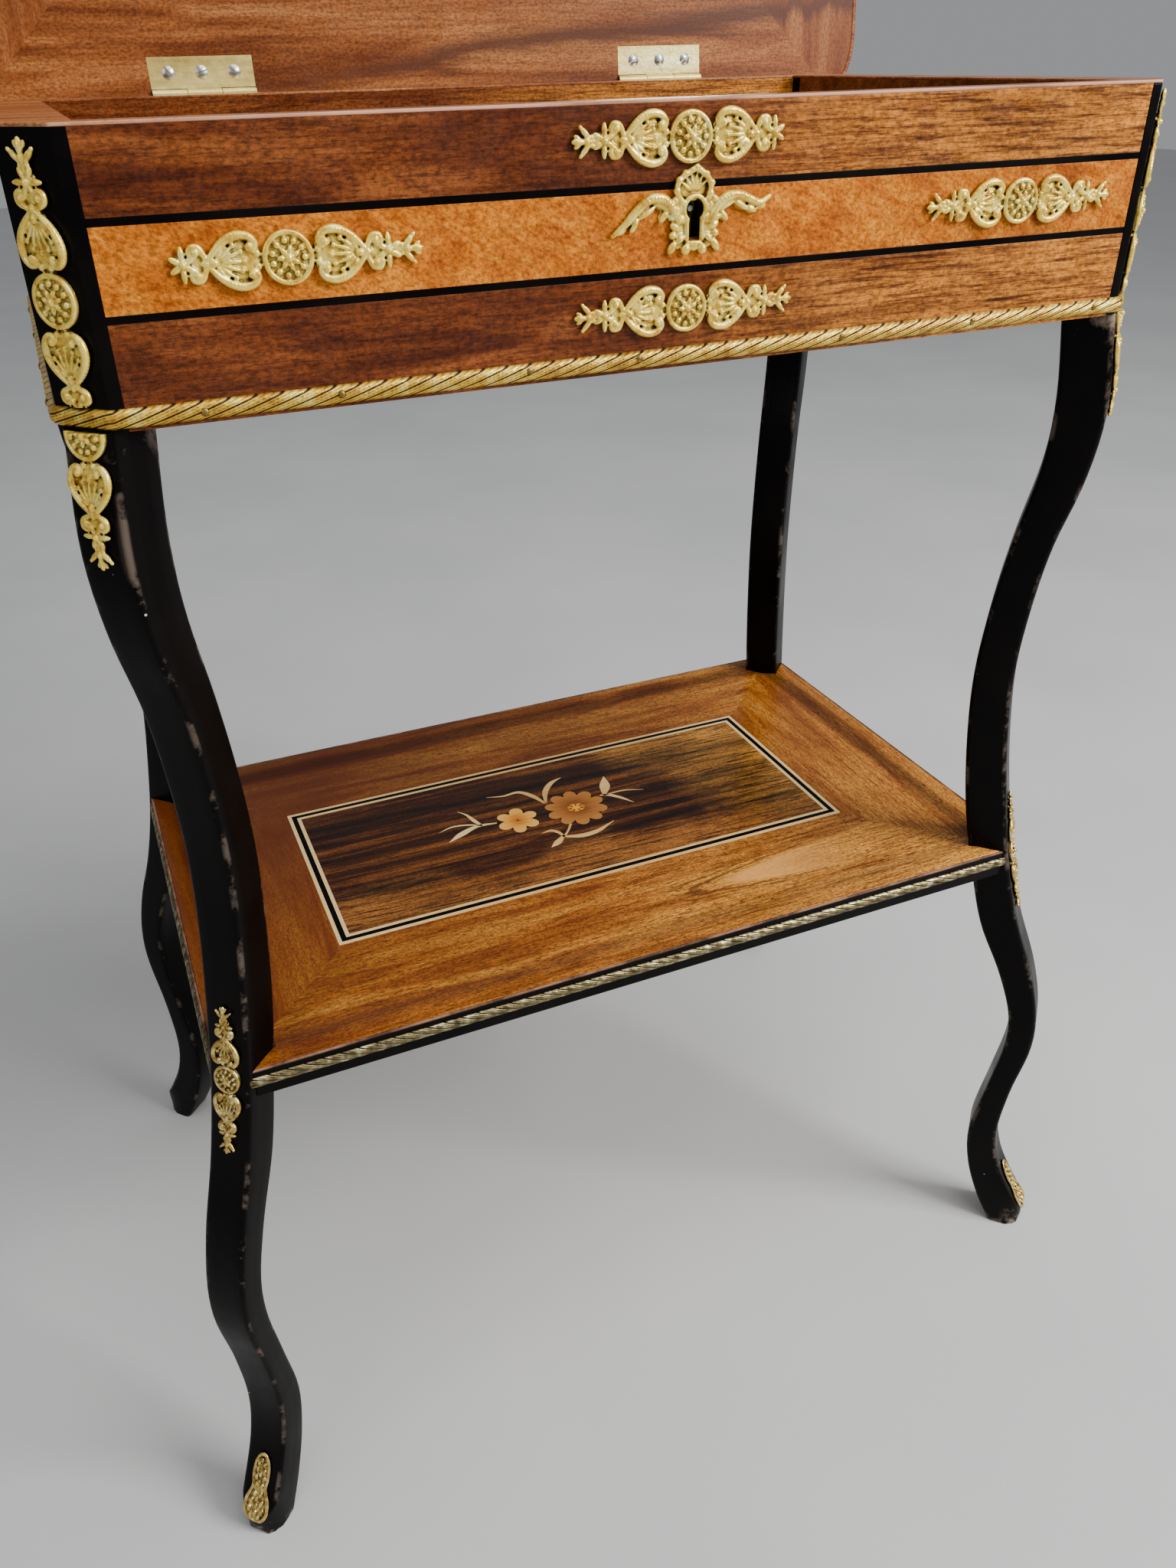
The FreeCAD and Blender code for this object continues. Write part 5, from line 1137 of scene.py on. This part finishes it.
def flatRing(shape, near, far, low, high):
    lowOut, lowIn, highOut, highIn = [
        [shape.verts.new(Vector((x, y, z)) * mm) for x, y in fieldCorners(inset)]
        for z in (low, high) for inset in (near, far)
    ]
    for k in range(4):
        j = (k + 1) % 4
        for upper, lower in ((highOut, highIn), (lowIn, lowOut), (lowOut, highOut), (highIn, lowIn)):
            shape.faces.new((upper[k], upper[j], lower[j], lower[k]))


def flatShape(shape, outline, low, high):
    under = [shape.verts.new(Vector((x, y, low)) * mm) for x, y in outline]
    over = [shape.verts.new(Vector((x, y, high)) * mm) for x, y in outline]
    shape.faces.new(over)
    shape.faces.new(under[::-1])
    count = len(outline)
    for k in range(count):
        j = (k + 1) % count
        shape.faces.new((under[k], under[j], over[j], over[k]))


def sheetPiece(name, shape, material, *replaced):
    bmesh.ops.recalc_face_normals(shape, faces=shape.faces)
    piece = newPiece(name, shape, [material])
    return seat(piece, "table", slotOf[replaced[0]] if replaced else "boxwood_inlay", *replaced)


paleLines, darkLine, field = bmesh.new(), bmesh.new(), bmesh.new()
for k, (near, far) in enumerate(zip(shelf["lines"], shelf["lines"][1:])):
    flatRing(darkLine if k == 1 else paleLines, near, far, *heights("lines"))
sheetPiece("paleStrings", paleLines, boxwood, "shelf_stringing")
sheetPiece("darkString", darkLine, ebonyString)
flatShape(field, fieldCorners(shelf["lines"][-1]), *heights("field"))
sheetPiece("rosewoodField", field, woods["rosewoodVeneer"], "shelf_field_veneer")


def discOutline(centre, radiusX, radiusY, count):
    turns = [math.tau * k / count for k in range(count)]
    return [(centre[0] + radiusX * math.cos(turn), centre[1] + radiusY * math.sin(turn)) for turn in turns]


def petalOutline(centre, turn, near, far, width):
    outline = []
    for k in range(18):
        a = math.tau * k / 18
        along = (near + far) / 2 + (far - near) / 2 * math.cos(a)
        swell = width / 2 * math.sin(a) * (0.62 + 0.38 * math.cos(a * 0.5) ** 2)
        outline.append((centre[0] + along * math.cos(turn) - swell * math.sin(turn),
                        centre[1] + along * math.sin(turn) + swell * math.cos(turn)))
    return outline


def leafOutline(points, widths):
    line = smoothLine([(x, y, w) for (x, y), w in zip(points, widths)], 7)
    left, right = [], []
    for k, spot in enumerate(line):
        ahead = line[min(k + 1, len(line) - 1)] - line[max(k - 1, 0)]
        way = Vector((ahead.x, ahead.y)).normalized()
        half = max(spot.z, 0.12) / 2
        left.append((spot.x - way.y * half, spot.y + way.x * half))
        right.append((spot.x + way.y * half, spot.y - way.x * half))
    return left + right[::-1]


flowers = (
    ("bigFlower", petalTan, flowerCentre, 10, (3.4, 20.5, 11.6)),
    ("smallFlower", petalPale, budCentre, 6, (0.6, 14.2, 10.8)),
)
sprays = (
    (((-38.0, 42.9), (-27.6, 39.8), (-16.2, 40.0), (-9.6, 32.1), (-5.0, 20.0)), (0.2, 1.4, 2.6, 3.4, 1.6)),
    (((17.0, 46.0), (8.0, 42.0), (0.5, 33.5), (-4.6, 20.0)), (0.2, 3.2, 3.8, 1.2)),
    (((43.6, 34.8), (39.4, 23.6), (34.2, 12.8)), (0.6, 7.0, 1.6)),
    (((31.5, 14.0), (36.5, 12.8), (42.6, 6.6), (48.6, -2.8)), (1.0, 2.4, 2.6, 0.2)),
    (((34.8, 13.4), (48.4, 13.4), (61.0, 9.0)), (1.0, 1.1, 0.15)),
    (((-61.0, 34.2), (-56.8, 28.0), (-54.2, 19.0), (-51.6, 12.4)), (0.2, 1.4, 2.8, 1.2)),
    (((-76.6, 2.6), (-66.6, 8.2), (-54.9, 12.6), (-42.0, 11.2)), (0.3, 4.4, 2.6, 1.2)),
    (((-79.0, 15.6), (-70.0, 18.4), (-60.2, 16.8), (-51.4, 12.0)), (0.15, 1.2, 1.4, 1.0)),
    (((27.8, -17.0), (12.9, -23.6), (2.2, -24.4), (-8.9, -20.7)), (0.2, 3.4, 4.0, 1.6)),
    (((-20.0, -11.6), (-13.6, -11.4), (-9.9, -15.3), (-8.7, -21.1)), (0.3, 2.2, 2.4, 1.2)),
    (((-20.2, -28.6), (-14.7, -25.2), (-8.0, -19.4)), (0.4, 4.4, 1.4)),
    (((1.0, -9.0), (-3.6, -15.6), (-8.4, -20.8)), (1.6, 1.4, 1.4)),
)
for name, material, centre, count, (near, far, wide) in flowers:
    petals = bmesh.new()
    for k in range(count):
        turn = math.tau * (k + 0.3) / count
        outline = petalOutline(centre, turn, near, far, wide * (1.0 if k % 2 else 0.94))
        flatShape(petals, outline, *heights("petals", 0.012 * (k % 2)))
    sheetPiece(name, petals, material, *(["shelf_marquetry"] if name == "bigFlower" else []))
scorched = bmesh.new()
for centre, radius in ((flowerCentre, 17.5), (budCentre, 11.0)):
    flatShape(scorched, discOutline(centre, radius, radius, 40), *heights("scorch"))
sheetPiece("scorchedGround", scorched, scorch)
leaves = bmesh.new()
for points, widths in sprays:
    flatShape(leaves, leafOutline(points, widths), *heights("leaves"))
sheetPiece("leafSprays", leaves, leafWood)
hearts = bmesh.new()
for spot in discOutline(flowerCentre, 3.9, 3.0, 7):
    flatShape(hearts, discOutline(spot, 2.3, 1.9, 12), *heights("hearts"))
flatShape(hearts, discOutline(flowerCentre, 2.9, 2.3, 16), *heights("centre"))
sheetPiece("flowerHeart", hearts, heartWood)
print("shelf inlay laid")


# Studio: pale floor, soft lights and the photograph's camera
studio = {
    "world": "d4d7db", "worldStrength": 0.46, "floorSize": 16.0,
    "lights": (
        ("keyLight", (1.9, -1.9, 2.0), (0.05, 0, 0.45), 1.3, 122.0),
        ("leftLight", (-2.4, -1.7, 1.8), (0, 0, 0.4), 2.0, 18.0),
        ("topLight", (0.5, -0.8, 2.9), (0, 0, 0.3), 2.0, 38.0),
    ),
}
floorMesh = bpy.data.meshes.new("floorMesh")
half = studio["floorSize"] / 2
floorMesh.from_pydata([(sx * half, sy * half, 0) for sx, sy in corners.values()], [], [(0, 1, 2, 3)])
floor = placed("paleFloor", floorMesh)
floorMaterial, graph, shader, place = startMaterial("paleFloorMaterial")
cloud = graph.noise(place, 3.0)
tone = graph.ramp(cloud, (0.3, "c4c4c3"), (0.7, "cdcdcb"))
dress(graph, shader, tone, graph.spread(cloud, 0.3, 0.7, 0.5, 0.6))
floorMesh.materials.append(floorMaterial)

world = bpy.data.worlds.new("studioWorld")
world.use_nodes = True
sky = world.node_tree.nodes["Background"]
sky.inputs["Color"].default_value = rgb(studio["world"])
sky.inputs["Strength"].default_value = studio["worldStrength"]
scene.world = world
for name, place, target, size, power in studio["lights"]:
    light = bpy.data.lights.new(name, "AREA")
    light.size = size
    light.energy = power
    aim = (Vector(target) - Vector(place)).to_track_quat("-Z", "Y")
    placed(name, light).matrix_world = Matrix.Translation(place) @ aim.to_matrix().to_4x4()

view = {
    "focus": 1553.437, "place": (-239.234, -594.987, 735.486), "yaw": 0.3834, "pitch": 0.5538,
    "roll": -0.0238, "centre": (737.14, 1027.29), "frame": (1536, 2048), "sensor": 36.0,
}
cosYaw, sinYaw = math.cos(view["yaw"]), math.sin(view["yaw"])
cosPitch, sinPitch = math.cos(view["pitch"]), math.sin(view["pitch"])
ahead = Vector((sinYaw * cosPitch, cosYaw * cosPitch, -sinPitch))
sideways = Vector((cosYaw, -sinYaw, 0))
upward = sideways.cross(ahead)
cosRoll, sinRoll = math.cos(view["roll"]), math.sin(view["roll"])
rightward = sideways * cosRoll + upward * sinRoll
topward = upward * cosRoll - sideways * sinRoll
cameraData = bpy.data.cameras.new("photoCamera")
cameraData.sensor_fit = "HORIZONTAL"
cameraData.sensor_width = view["sensor"]
cameraData.lens = view["focus"] / view["frame"][0] * view["sensor"]
cameraData.shift_x = (view["frame"][0] / 2 - view["centre"][0]) / view["frame"][0]
cameraData.shift_y = (view["centre"][1] - view["frame"][1] / 2) / view["frame"][0]
cameraData.clip_start = 0.02
camera = placed("photoCamera", cameraData)
turn = Matrix((rightward, topward, -ahead)).transposed()
camera.matrix_world = Matrix.Translation(Vector(view["place"]) * mm) @ turn.to_4x4()
scene.camera = camera
print("studio and camera set")
